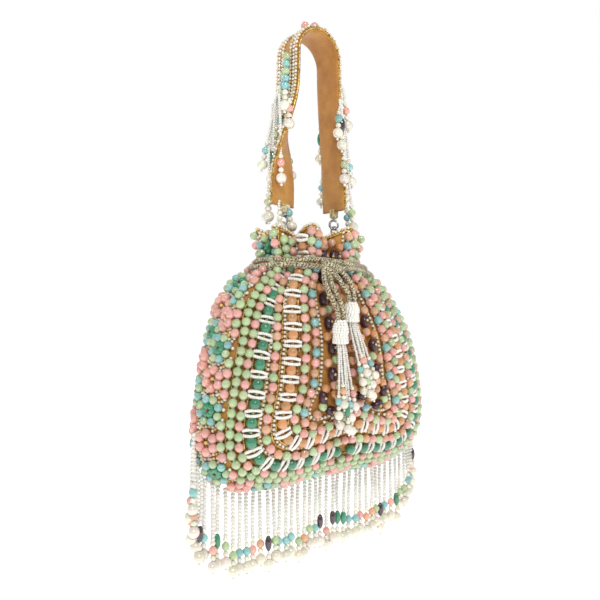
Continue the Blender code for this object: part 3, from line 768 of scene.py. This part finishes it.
def lay_ladder(cloth, rounds, seeds, arcs, distance, pitch, colour, radius, bow):
    """A row of single beads with an eye of two bowed arcs of seed beads between each and the next."""
    row, share = cloth.rows_along(distance, pitch)
    centre, along, out = cloth.at(row, share, lift=radius * 0.62)
    rounds.add(centre, radius, tone(colour), axis=out, stretch=0.85, vary=0.12)
    row, share = cloth.rows_along(distance, pitch, shift=1.0)
    centre, along, out = cloth.at(row, share, lift=1.0)
    rounds.add(centre - out * 0.4, radius * 0.62, tone(colour) * 0.8, axis=out, stretch=0.5)
    seeds.add(centre + out * 0.6, 0.85, tone("gold"), axis=along)
    chance = seeds.chance.uniform(-0.35, 0.35, (2, 2, len(row)))
    for u in np.linspace(-1, 1, 9):
        for k, sign in enumerate((-1, 1)):
            ahead = sign * (1.25 + bow * (1 - u * u)) + chance[k, 0] + u * chance[k, 1]
            centre, along, out = cloth.at(row, share, lift=ARC_LIFT - 0.8 * u * u,
                                           aside=u * LADDER_HALF, ahead=ahead)
            arcs.add(centre, ARC_BEAD, tone("seed"), axis=np.cross(out, along), stretch=0.66, vary=0.05)


def ring_on(cloth, row, share, count, radius, lift, start=0.0):
    """Points evenly round a place on the cloth, and how far each lies aside and ahead of it."""
    turns = (np.arange(count) + start) * 2 * math.pi / count
    aside, ahead = radius * np.cos(turns), radius * np.sin(turns)
    points, _, out = cloth.at(np.full(count, row), share, lift=lift, aside=aside, ahead=ahead)
    return points, out, aside, ahead


def lay_flowers(cloth, rounds, seeds, petals, phase, shift):
    """Flowers along the border: pink ones of six beads, green ones of eight round a lobed glass heart."""
    row, share = cloth.rows_along(FLOWER_ROW, sizes().flower, shift)
    for k in range(len(row)):
        pink = (k + phase) % 2 == 0
        count, ring, radius = (6, 5.6, 3.05) if pink else (8, 7.0, 2.75)
        centre, out, aside, ahead = ring_on(cloth, row[k], share[k], count, ring, 0.0, start=0.5)
        drop = aside**2 / 46 + ahead**2 / 160
        centre = centre + out * (radius * 0.9 - drop)[:, None]
        tint = in_turn(["pink"] if pink else ["teal", "green"], count)
        rounds.add(centre, radius, tint, axis=out, stretch=0.92)
        middle, _, out = cloth.at(row[k:k + 1], share[k:k + 1], lift=2.6)
        if pink:
            seeds.add(middle, 1.35, tone("gold"), axis=out)
            centre, out, _, _ = ring_on(cloth, row[k], share[k], 5, 2.3, 1.6)
            seeds.add(centre, 0.75, tone("gold") * 0.6, axis=out)
        else:
            lobes, lobe_out, _, _ = ring_on(cloth, row[k], share[k], 6, 2.4, 2.2)
            petals.add(lobes, 2.35, tone("emerald") * 1.25, axis=lobe_out, stretch=0.8)
            seeds.add(middle + out * 1.3, 0.8, linear("8A3A22"), axis=out)


def lay_field(cloth, seeds, blocked):
    """Small pearls strewn over the border wherever no bead is in the way."""
    points = []
    for number, distance in enumerate(np.arange(1.2, FIELD_EDGE, FIELD_STEP)):
        row, share = cloth.rows_along(distance, FIELD_PITCH, shift=0.5 if number % 2 else 1.0)
        jitter = seeds.chance.uniform(-0.5, 0.5, (2, len(row)))
        centre, along, _ = cloth.at(row, share, lift=0.9, aside=jitter[0], ahead=jitter[1])
        points.append(np.concatenate([centre, along], axis=1))
    points = np.concatenate(points)
    centres, radii = blocked
    gap = np.linalg.norm(points[:, None, :3] - centres[None], axis=2) - radii[None]
    points = points[gap.min(axis=1) > FIELD_GAP]
    golden = seeds.chance.uniform(size=len(points)) < 0.3
    tint = np.where(golden[:, None], tone("gold"), tone("pearl"))
    seeds.add(points[:, :3], 1.1, tint, axis=points[:, 3:], vary=0.12)


def lay_core(cloth, rounds, seeds, ovals):
    """The middle panel: dark faceted ovals in turn with peach and green beads."""
    row, share = cloth.rows_along(OVAL_ROW, OVAL_PITCH, shift=0.6, top=8)
    centre, along, out = cloth.at(row, share, lift=2.6)
    ovals.add(centre, 3.3, tone("maroon"), axis=along, stretch=1.35, vary=0.2)
    seeds.add(centre + out * 3.2, 0.95, tone("gold"), axis=along)
    row, share = cloth.rows_along(OVAL_ROW, OVAL_PITCH, shift=1.1, top=8)
    for number, aside in enumerate((-2.2, 3.4)):
        centre, along, _ = cloth.at(row, share, lift=2.5, aside=aside, ahead=number * 2.0 - 1.0)
        names = ("peach", "green") if number == 0 else ("amber", "peach")
        rounds.add(centre, sizes().bead / 2, in_turn(names, len(row)), axis=along)
    for distance in CORE_ROWS:
        row, share = cloth.rows_along(distance, CORE_PITCH, shift=0.7, top=4)
        centre, along, _ = cloth.at(row, share, lift=2.5)
        rounds.add(centre, sizes().bead / 2, in_turn(("amber", "pink", "peach"), len(row)), axis=along)


def keep_apart(beads, limit):
    """Drops beads that sink too far into an earlier one, where the rows crowd at the neck."""
    centres, radii, stretch, axis, tint = [np.concatenate(column) for column in zip(*beads.parts)]
    gaps = np.linalg.norm(centres[:, None] - centres[None], axis=2)
    near = gaps < limit * (radii[:, None] + radii[None])
    kept = np.ones(len(centres), bool)
    for k in range(len(centres)):
        kept[k] = not np.any(near[k, :k] & kept[:k])
    beads.parts = [(centres[kept], radii[kept], stretch[kept], axis[kept], tint[kept])]


def cover_panel(side):
    """All beadwork of the front or the back panel, as one list of beads for each piece and finish."""
    rounds, seeds, arcs = Beads(ROUND, 11), Beads(SEED, 12), Beads(SEED, 15)
    petals, ovals = Beads(ROUND, 13), Beads(ROUND, 14)
    for number, word in enumerate(("right", "left")):
        cloth = Cloth(MIRRORS[side + "_" + word])
        lay_flowers(cloth, rounds, seeds, petals, number, 0.5 if side == "front" else 1.0)
        lay_rows(cloth, rounds, seeds)
        for ladder in LADDERS:
            lay_ladder(cloth, rounds, seeds, arcs, *ladder)
        lay_core(cloth, rounds, seeds, ovals)
        lay_pearl_rows(cloth, seeds)
    keep_apart(rounds, CROWDED_ROUNDS)
    for word in ("right", "left"):
        lay_field(Cloth(MIRRORS[side + "_" + word]), seeds, rounds.centres())
    keep_apart(seeds, CROWDED_SEEDS)
    return {
        "ladder_arcs": (arcs, seed_glass, "white_beads"),
        "round_beads": (rounds, jade_glass, "string_beads"),
        "seed_beads": (seeds, seed_glass, "white_beads"),
        "flower_hearts": (petals, jade_glass, "string_beads"),
        "dark_ovals": (ovals, seed_glass, "string_beads"),
    }


def make_threads(side):
    """Couched gold thread along the pattern rows, as thin tubes on the cloth."""
    runs = []
    for word in ("right", "left"):
        cloth = Cloth(MIRRORS[side + "_" + word])
        for distance in GOLD_ROWS:
            row, share = cloth.rows_along(distance, 2.4, shift=0.0, top=0.5)
            path, _, out = cloth.at(row, share, lift=0.45)
            runs.append((path, out))
    return merge_threads("gold_thread_" + side, runs, sizes().thread, 5)


def make_mouth_edge():
    """Pearls and gold thread along the mouth's edge, row zero of the cloth."""
    pearls, runs = Beads(SEED, 21), []
    for sx, sy in MIRRORS.values():
        cloth = Cloth((sx, sy))
        line = cloth.read(cloth.grid, np.zeros(STEPS + 1), np.linspace(0, 1, STEPS + 1))
        arc = arc_lengths(line)
        share = np.interp(np.arange(1.1, arc[-1] - 1, 2.2), arc, np.linspace(0, 1, STEPS + 1))
        centre, along, _ = cloth.at(np.full(len(share), 0.0), share, lift=0.3, ahead=-0.6)
        golden = np.arange(len(share)) % 3 == 0
        pearls.add(centre, 1.1, np.where(golden[:, None], tone("gold"), tone("pearl")), axis=along)
        path, _, out = cloth.at(np.full(60, 1.5), np.linspace(0, 1, 60), lift=0.6)
        runs.append((path, out))
    place(pearls.build("mouth_edge_pearls", pearl_lustre()), "pouch", "white_beads")
    place(merge_threads("mouth_edge_thread", runs, 0.8, 6), "pouch", "gold_cord")


# ---------------------------------------------------------------- strung beads

class Strings:
    """Bead strings gathered into four meshes: strung seeds, pearls, round beads and long tubes."""

    def __init__(self, seed):
        self.seeds, self.pearls = Beads(SEED, seed), Beads(LARGE, seed + 1)
        self.rounds, self.tubes = Beads(ROUND, seed + 2), Beads(ROUND, seed + 3)
        self.chance = np.random.default_rng(seed + 4)

    def hang(self, top, end, kind, seed_radius=1.65, scale=1.0):
        """Strung seeds down a gently bent line from the top, then the end's beads, one after another."""
        top, end = np.array(top, float), np.array(end, float)
        length = np.linalg.norm(end - top)
        down = (end - top) / length
        ending = END_SETS.get(kind) or END_SETS["tube" if kind in ("emerald", "maroon") else "round"]
        ending = [(bead, radius * scale, half * scale) for bead, radius, half in ending]
        stretch = max(length - 2 * sum(half for _, _, half in ending), 0.0)
        at = np.arange(0.7 * seed_radius, stretch, 1.45 * seed_radius)
        bend = self.chance.uniform(-0.5, 0.5, 3) * (1, 1, 0)
        line = top + down * at[:, None] + bend * np.sin(math.pi * at / max(stretch, 1))[:, None]
        wobble = self.chance.uniform(-0.12, 0.12, line.shape)
        self.seeds.add(line + wobble, seed_radius, tone("string"), axis=down, stretch=0.85, vary=0.06)
        here = top + down * stretch
        for bead, radius, half in ending:
            here = here + down * half
            word = kind if bead in ("round", "long") else bead
            if word == "pearl":
                self.pearls.add(here, radius, tone("pearl"), axis=down)
            elif word == "tip":
                self.seeds.add(here, radius, tone("seed"), axis=down)
            elif bead == "long":
                self.tubes.add(here, radius, tone(word), axis=down, stretch=half / radius, vary=0.15)
            else:
                self.rounds.add(here, radius, tone(word), axis=down)
            here = here + down * half

    def build(self, name, body, slot, *nodes):
        """The four meshes, of which the strung seeds stand for the CAD nodes."""
        made = [place(self.seeds.build(name + "_seeds", seed_glass()), body, slot, *nodes)]
        groups = {"pearls": (self.pearls, pearl_lustre), "beads": (self.rounds, jade_glass),
                  "tubes": (self.tubes, jade_glass)}
        for word, (beads, finish) in groups.items():
            if beads.parts:
                made.append(place(beads.build(name + "_" + word, finish()), body, slot))
        return made


# kind, radius and half length of each bead on a string's end, from the top down
SMALL_TIP = ("tip", 1.0, 0.8)
END_SETS = {
    "round": [("pearl", 1.75, 1.7), ("round", 2.8, 2.75), ("pearl", 1.9, 1.85), ("pearl", 3.6, 3.55),
              SMALL_TIP],
    "tube": [("long", 2.4, 5.2), SMALL_TIP, ("pearl", 1.8, 1.75), ("pearl", 3.7, 3.65), SMALL_TIP],
    "pearl": [("pearl", 1.8, 1.75), ("pearl", 1.9, 1.85), ("pearl", 3.6, 3.55), SMALL_TIP],
    "column": [("green", 2.7, 2.6), ("teal", 2.7, 2.6), ("green", 2.7, 2.6), ("teal", 2.6, 2.5),
               ("teal", 2.7, 2.6), ("pearl", 2.0, 1.9), ("pearl", 2.0, 1.9), ("pearl", 3.6, 3.5), SMALL_TIP],
}
END_ORDER = ["teal", "green", "peach", "pink", "teal", "emerald", "green", "pink", "teal", "green",
             "maroon", "pink", "teal", "green", "peach", "pink", "maroon", "green", "emerald", "teal"]


def fringe_tops():
    """Points on the lower seam at the fringe's pitch, from its left start round to its right start."""
    x, z = lower_seam(721)
    keep = z <= FRINGE_TOP_Z
    x, z = x[keep], z[keep]
    x, z = np.concatenate([x, -x[-2::-1]])[::-1], np.concatenate([z, z[-2::-1]])[::-1]
    arc = flat_arc(x, z)
    count = int(arc[-1] / sizes().fringe)
    at = np.linspace(0.5, arc[-1] - 0.5, count)
    tops = np.stack([np.interp(at, arc, x), 0 * at, np.interp(at, arc, z)], axis=-1)
    return settle(tops)


def make_fringe():
    """Bead strings down from the lower seam, of uneven lengths, splayed a little at the corners."""
    strings = Strings(40)
    for k, top in enumerate(fringe_tops()):
        chance = strings.chance.uniform(-1, 1, 4)
        side = np.clip(abs(top[0] - LEAN) - 70, 0, 25) / 25 * np.sign(top[0] - LEAN)
        top = top + (1.0 * side, 0.9 * chance[0], -0.5)
        fall = -FRINGE_LENGTH + 1.0 + 3.6 * chance[3]
        end = top + (0.8 * chance[1] + 1.5 * side, 2.0 * chance[2], fall)
        strings.hang(top, end, END_ORDER[(k * 7 + k // 3) % len(END_ORDER)])
    nodes = ["fringe_%02d" % (k + 1) for k in range(FRINGE_PIECES)]
    strings.build("fringe", "pouch", "string_beads", *nodes)


# ---------------------------------------------------------------- drawstring and tassels

def neck_path(shift):
    """The closed loop of cord that rests on the pleats' crests at the neck."""
    a = np.arange(NECK_POINTS) * 2 * math.pi / NECK_POINTS
    z = NECK_Z - 4.4 + shift + 1.8 * CORD_RISE * np.cos(a + 0.9) + 0.5 * np.sin(5 * a + shift)
    reach = CORD / 2 + CORD_CLEAR - 1.2 + 0.5 * np.sin(7 * a + 2 * shift)
    return np.stack([(half_width(z) + reach) * np.sin(a), -(half_depth(z) + reach) * np.cos(a), z], axis=-1)


def make_tail(name, word, hung):
    """One strand of a doubled tail from the knot to its cap; the outer one runs on to carry the tassel."""
    (x, y, z), cap = TASSELS[word][:2]
    bend, end, points = TAILS[name]
    points = points + [(x + bend, y, z + 5), (x + end, y, z + 0.6)]
    if hung:
        points += [(x - 1.0, y, z - 4.0), (x, y, z - cap)]
    route = smooth_route(points, 32)
    cord = place(make_tube(name + "_cord", route, CORD / 2, metallic_braid()), "pouch", "gold_cord", name)


def make_tassel(word):
    """A cap of seed-bead rings over strands that spread to their beaded ends, hung from two cord tails."""
    (x, y, z), cap, (ex, ey, ez), (rx, ry) = TASSELS[word]
    cap_beads = Beads(SEED, 60)
    for k, share in enumerate(np.linspace(0.02, 1.0, 9)):
        swell = 0.62 + 0.38 * math.sin(math.pi * min(share * 1.9, 1.0) / 2)
        radius = (CAP_R - 0.9) * (swell if share < 0.52 else 0.86 + 0.24 * (share - 0.5))
        count = int(2 * math.pi * radius / 1.75)
        turns = (np.arange(count) + 0.5 * (k % 2)) * 2 * math.pi / count
        ring = np.stack([x + radius * np.cos(turns), y + radius * np.sin(turns), z - cap * share + 0 * turns],
                        axis=-1)
        cap_beads.add(ring, 1.15, tone("seed"), vary=0.05)
    k = np.arange(5)
    top = np.stack([x + 2 * np.cos(k), y + 2 * np.sin(k), z - 0.3 + 0 * k], axis=-1)
    cap_beads.add(top, 1.3, tone("seed"))
    cap_piece = place(cap_beads.build("tassel_cap_beads_" + word, seed_glass()), "pouch", "white_beads",
                      "tassel_cap_" + word)
    strands = Strings(70 if word == "left" else 80)
    start = np.array((x, y, z - cap + 0.6))
    for k in range(STRANDS):
        turn = (k + 0.3) * 2 * math.pi / STRANDS
        share = 0.55 + 0.45 * ((k * 5) % STRANDS) / STRANDS
        out = np.array((math.cos(turn), math.sin(turn), 0))
        foot = np.array((ex, ey, ez)) + out * (rx - 2.0, ry - 1.8, 0) * share
        foot[2] += (start[2] - ez) * 0.36 * ((k * 3) % STRANDS) / STRANDS
        kind = END_ORDER[(k * 3 + len(word)) % len(END_ORDER)]
        strands.hang(start + out * (2.9, 2.9, 0) * share, foot, kind, 0.9, 0.8)
    pieces = strands.build("tassel_strands_" + word, "pouch", "string_beads", "tassel_strands_" + word)
    make_tail("tail_%s_outer" % word, word, [cap_piece] + pieces)
    make_tail("tail_%s_inner" % word, word, [])


def make_neck_and_knot():
    """The two loops of cord round the neck, and the knot as a trefoil curve."""
    for name, shift in CORD_LOOPS.items():
        loop = make_tube(name + "_braid", neck_path(shift), CORD / 2 + 0.1, metallic_braid(), closed=True)
        place(loop, "pouch", "gold_cord", name)
    t = np.linspace(0, 2 * math.pi, 90, endpoint=False)
    turn = np.stack([np.sin(t) + 2 * np.sin(2 * t), -np.sin(3 * t), np.cos(t) - 2 * np.cos(2 * t)], axis=-1)
    path = np.array(KNOT) + turn * (2.1, 1.5, 1.75)
    knot = make_tube("knot_braid", path, CORD / 2, metallic_braid(), closed=True, lift=(0, -1, 0.1))
    place(knot, "pouch", "gold_cord", "knot")


# ---------------------------------------------------------------- strap

def strap_line():
    """Points of the strap's centre line from the left end over the arch to the right end."""
    centre_z = STRAP_THICK / 2 - ARCH_RISE
    legs_z = np.linspace(STRAP_END_Z, centre_z, LEG_POINTS, endpoint=False)
    share = smooth_step((centre_z - legs_z) / (centre_z - STRAP_END_Z))
    legs_x = ARCH_HALF + (LEG_HALF - ARCH_HALF) * share
    turns = np.linspace(math.pi, 0, ARCH_POINTS + 1)
    x = np.concatenate([-legs_x, ARCH_HALF * np.cos(turns), legs_x[::-1]])
    z = np.concatenate([legs_z, centre_z + ARCH_RISE * np.sin(turns), legs_z[::-1]])
    return np.stack([x, 0 * x, z], axis=-1)


def strap_frames():
    """Centre, width direction and outward direction along the strap, with the left leg's twist."""
    line = strap_line()
    along = unit(np.gradient(line, axis=0))
    twist = TWIST * smooth_step((TWIST_TOP - line[:, 2]) / (TWIST_TOP - TWIST_END)) * (line[:, 0] < 0)
    across = np.stack([-np.sin(twist), np.cos(twist), 0 * twist], axis=-1)
    across -= along * np.sum(along * across, axis=1, keepdims=True)
    across = unit(across)
    return line, along, across, np.cross(along, across)


def make_strap():
    """The band: a flat section with round edges carried along the strap's line, with soft creases inside."""
    line, _, across, outward = strap_frames()
    turns = np.linspace(0, 2 * math.pi, 41)
    wide = np.sign(np.cos(turns)) * np.abs(np.cos(turns)) ** 0.25 * STRAP_WIDTH / 2
    thick = np.sign(np.sin(turns)) * np.abs(np.sin(turns)) ** 0.7 * STRAP_THICK / 2
    arc = arc_lengths(line)
    crease = 0.12 * np.sin(arc[:, None] / 4.1 + wide[None] / 6) * np.sin(arc[:, None] / 17) * (thick[None] < 0)
    ends = np.minimum(arc, arc[-1] - arc)[:, None]
    fold = 0.45 * np.exp(-((ends - 4.2) / 0.7) ** 2) * (thick[None] < 0)
    section = thick[None] + crease + fold
    points = line[:, None] + across[:, None] * wide[None, :, None] + outward[:, None] * section[..., None]
    uv = np.stack(np.broadcast_arrays(np.linspace(0, 0.05, 41)[None], arc[:, None] * MM), axis=-1)
    place(grid_mesh("strap_cloth", points, uv, tan_satin()), "handle", "strap_fabric", "strap_band")


def on_strap(at, aside, lift):
    """Points and directions at the given lengths along the strap's outer face."""
    line, along, across, outward = strap_frames()
    arc = arc_lengths(line)
    def read(table):
        return np.stack([np.interp(at, arc, table[:, k]) for k in range(3)], axis=-1)
    out = read(outward)
    return read(line) + read(across) * aside + out * (STRAP_THICK / 2 + lift), read(along), out, arc[-1]


def make_strap_beads():
    """Gold-edged pearl rows on the strap's outer face, with groups of round beads along its middle.

    The three pink beads on the arch lie towards its front edge.
    """
    small, rounds, pearls = Beads(SEED, 91), Beads(ROUND, 92), Beads(LARGE, 93)
    total = on_strap(np.array([0.0]), 0.0, 0.0)[3]
    for aside, pitch, colours in STRAP_ROWS:
        for side in (-aside, aside):
            at = np.arange(2, total - 2, pitch)
            centre, along, _, _ = on_strap(at, side, 0.8)
            small.add(centre, 1.1, in_turn(colours, len(at)), axis=along, vary=0.12)
    middle = total / 2
    groups = [(middle + d, "pink") for d in (-6.4, 0.0, 6.4)]
    for sign in (-1, 1):
        for k, word in enumerate(("green", "teal", "green", "teal", "pearl", "teal")):
            groups.append((middle + sign * (42 + 6.1 * k), word))
        for k, word in enumerate(("pink", "green", "pink", "teal")):
            groups.append((middle + sign * (84 + 6.2 * k), word))
    for at, word in groups:
        aside = -6.0 if abs(at - middle) < 8 else 0.6 * math.sin(at)
        centre, along, _, _ = on_strap(np.array([at]), aside, 2.7)
        (pearls if word == "pearl" else rounds).add(centre, 2.9, tone(word), axis=along)
    groups = {"strap_seed_rows": (small, pearl_lustre), "strap_round_beads": (rounds, jade_glass),
              "strap_pearls": (pearls, pearl_lustre)}
    for name, (beads, finish) in groups.items():
        place(beads.build(name, finish()), "handle", "string_beads")
    for number, aside in enumerate((-STRAP_WIDTH / 2 - 0.1, STRAP_WIDTH / 2 + 0.1)):
        path, _, out, _ = on_strap(np.linspace(1, total - 1, 160), aside, -1.2)
        edge = make_tube("strap_edge_cord_%d" % (number + 1), path, 0.75, gold_zari(), sides=6, lift=out)
        place(edge, "handle", "gold_cord")


def make_strap_strings():
    """Bead strings that hang from the strap's outer face, one group for each leg."""
    for number, (word, rows) in enumerate(STRAP_STRINGS.items()):
        strings = Strings(100 + 10 * number)
        for top, foot, kind in rows:
            strings.hang(top, foot, kind, 1.15)
        names = ["strap_string_%s_%s" % (word, place_name) for place_name in ("top", "front", "middle", "back")]
        strings.build("strap_strings_" + word, "handle", "string_beads", *names)


def make_tape(name, path, wide, thick, body, node):
    """A short woven tape: a flat section carried along a folded path."""
    ahead = unit(np.gradient(path, axis=0))
    out = np.cross(ahead, (1.0, 0, 0))
    points = path[:, None] + np.array((1.0, 0, 0)) * wide[None, :, None] + out[:, None] * thick[None, :, None]
    uv = np.stack(np.broadcast_arrays(wide[None] * MM, np.arange(len(path))[:, None] * 0.5 * MM), axis=-1)
    place(grid_mesh(name, points, uv, braid_tape()), body, "tab_fabric", node)


def make_tab(word, x):
    """The tape folded through the clasp's eye, as a narrow U."""
    low = PIVOT_Z + 6.4 + 1.6
    t = np.linspace(0, math.pi, 25)
    bend = np.stack([0 * t + x, -1.5 * np.cos(t), low + 1.6 - 1.6 * np.sin(t)], axis=-1)
    top = STRAP_END_Z + 1.5
    path = np.concatenate([[(x, -1.5, top)], bend, [(x, 1.5, top)]])
    turns = np.linspace(0, 2 * math.pi, 17)
    wide = np.sign(np.cos(turns)) * np.abs(np.cos(turns)) ** 0.4 * 2.7
    make_tape("tape_tab_" + word, path, wide, np.sin(turns) * 0.5, "handle", "strap_tab_" + word)


def make_ring_loop(word, x):
    """The tape loop that sews the ring to the mouth's edge, as a narrow U over the ring's lowest wire."""
    ring_z = PIVOT_Z - 1.1
    t = np.linspace(0, math.pi, 21)
    bend = np.stack([0 * t + x, -1.3 * np.cos(t), ring_z - 2.4 + 1.3 * np.sin(t)], axis=-1)
    path = np.concatenate([[(x, -1.3, ring_z - 8.0)], bend, [(x, 1.3, ring_z - 8.0)]])
    turns = np.linspace(0, 2 * math.pi, 13)
    wide, thick = np.cos(turns) * 1.9, np.sin(turns) * 0.5
    make_tape("tape_ring_loop_" + word, path, wide, thick, "pouch", "ring_loop_" + word)


# ---------------------------------------------------------------- operators

class POTLI_OT_stage(bpy.types.Operator):
    """White floor, soft lights and the camera"""
    bl_idname = "potli.stage"
    bl_label = "Stage"

    def execute(self, context):
        scene = context.scene
        lens = bpy.data.cameras.new("camera")
        camera = bpy.data.objects.new("camera", lens)
        scene.collection.objects.link(camera)
        lens.lens, lens.sensor_width, lens.shift_x = 36, 36, CAMERA_SHIFT
        away, turn = CAMERA_AWAY, CAMERA_TURN
        camera.location = (LEAN * MM + away * math.sin(turn), -away * math.cos(turn), CAMERA_Z)
        camera.rotation_euler = (math.radians(90), 0, turn)
        scene.camera = camera
        corners = [(x * FLOOR_HALF, y * FLOOR_HALF, FLOOR_Z) for x, y in ((-1, -1), (1, -1), (1, 1), (-1, 1))]
        floor = to_mesh("floor", corners, [(0, 1, 2, 3)], studio_white())
        for name, (spot, size, power) in LIGHTS.items():
            lamp = bpy.data.lights.new(name, "AREA")
            lamp.size, lamp.energy = size, power
            light = bpy.data.objects.new(name, lamp)
            scene.collection.objects.link(light)
            light.location = spot
            light.rotation_euler = (Vector((0, 0, -0.2)) - Vector(spot)).to_track_quat("-Z", "Y").to_euler()
        world = bpy.data.worlds.new("studio")
        world.use_nodes = True
        sky = world.node_tree.nodes["Background"]
        sky.inputs["Color"].default_value = (1, 1, 1, 1)
        path = add_node(world.node_tree, "ShaderNodeLightPath")
        glow = add_node(world.node_tree, "ShaderNodeMapRange", {"To Min": 0.6, "To Max": 1.0},
                        {"Value": path.outputs["Is Camera Ray"]})
        world.node_tree.links.new(glow.outputs["Result"], sky.inputs["Strength"])
        scene.world = world
        scene.view_settings.view_transform = "Standard"
        return {"FINISHED"}


class POTLI_OT_tassels(bpy.types.Operator):
    """The drawstring's hanging tails with their beaded tassels"""
    bl_idname = "potli.tassels"
    bl_label = "Tails and tassels"

    def execute(self, context):
        for word in TASSELS:
            make_tassel(word)
        return {"FINISHED"}


class POTLI_OT_drawstring(bpy.types.Operator):
    """The doubled cord round the neck and its knot"""
    bl_idname = "potli.drawstring"
    bl_label = "Neck cord and knot"

    def execute(self, context):
        make_neck_and_knot()
        return {"FINISHED"}


class POTLI_OT_cloth(bpy.types.Operator):
    """The pleated satin pouch and its cotton lining"""
    bl_idname = "potli.cloth"
    bl_label = "Cloth and lining"

    def execute(self, context):
        place(make_bag("pouch_cloth", CLOTH_DEPTH, 0.5, tan_satin()), "pouch", "beaded_fabric", "outer_pouch")
        lining = make_bag("pouch_lining", CLOTH_DEPTH + 0.7, 0.4, lining_cotton())
        place(lining, "pouch", "lining_fabric", "lining")
        return {"FINISHED"}


class POTLI_OT_beadwork(bpy.types.Operator):
    """Flowers, bead rows, ladders, pearls and gold thread on both panels"""
    bl_idname = "potli.beadwork"
    bl_label = "Beadwork"

    def execute(self, context):
        for side in ("front", "back"):
            for name, (beads, finish, slot) in cover_panel(side).items():
                place(beads.build(name + "_" + side, finish()), "pouch", slot)
            place(make_threads(side), "pouch", "gold_cord")
        return {"FINISHED"}


class POTLI_OT_mouth(bpy.types.Operator):
    """Pearls and gold thread along the mouth's edge"""
    bl_idname = "potli.mouth"
    bl_label = "Mouth edge"

    def execute(self, context):
        make_mouth_edge()
        return {"FINISHED"}


class POTLI_OT_fringe(bpy.types.Operator):
    """Bead strings along the lower seam"""
    bl_idname = "potli.fringe"
    bl_label = "Fringe"

    def execute(self, context):
        make_fringe()
        return {"FINISHED"}


class POTLI_OT_strap(bpy.types.Operator):
    """The satin strap with its beads and hanging strings"""
    bl_idname = "potli.strap"
    bl_label = "Strap"

    def execute(self, context):
        make_strap()
        make_strap_beads()
        make_strap_strings()
        return {"FINISHED"}


class POTLI_OT_fittings(bpy.types.Operator):
    """Tape tabs and loops, and the finish of clasps and rings"""
    bl_idname = "potli.fittings"
    bl_label = "Fittings"

    def execute(self, context):
        for word, side in (("left", -1), ("right", 1)):
            make_tab(word, side * LEG_HALF)
            make_ring_loop(word, side * LEG_HALF)
            for name in ("clasp_", "clasp_lever_", "ring_"):
                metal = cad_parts[name + word].data
                metal.materials.clear()
                metal.materials.append(nickel_plate())
        return {"FINISHED"}


OPERATORS = (POTLI_OT_stage, POTLI_OT_tassels, POTLI_OT_drawstring, POTLI_OT_cloth, POTLI_OT_beadwork,
             POTLI_OT_mouth, POTLI_OT_fringe, POTLI_OT_strap, POTLI_OT_fittings)


class POTLI_PT_panel(bpy.types.Panel):
    """Lists the bag's pieces in the 3D view's sidebar"""
    bl_idname = "POTLI_PT_panel"
    bl_label = "Potli Bag"
    bl_space_type = "VIEW_3D"
    bl_region_type = "UI"
    bl_category = "Potli"

    def draw(self, context):
        for group in (context.scene.potli_sizes, context.scene.potli_colours):
            for name in group.__annotations__:
                self.layout.prop(group, name)
        for operator in OPERATORS:
            self.layout.operator(operator.bl_idname)


CLASSES = (PotliColours, PotliSizes, *OPERATORS, POTLI_PT_panel)


def register():
    for item in CLASSES:
        bpy.utils.register_class(item)
    bpy.types.Scene.potli_colours = bpy.props.PointerProperty(type=PotliColours)
    bpy.types.Scene.potli_sizes = bpy.props.PointerProperty(type=PotliSizes)


def unregister():
    del bpy.types.Scene.potli_sizes
    del bpy.types.Scene.potli_colours
    for item in reversed(CLASSES):
        bpy.utils.unregister_class(item)


def main():
    register()
    for operator in OPERATORS:
        getattr(bpy.ops.potli, operator.bl_idname.split(".")[1])()


if __name__ == "__main__":
    main()
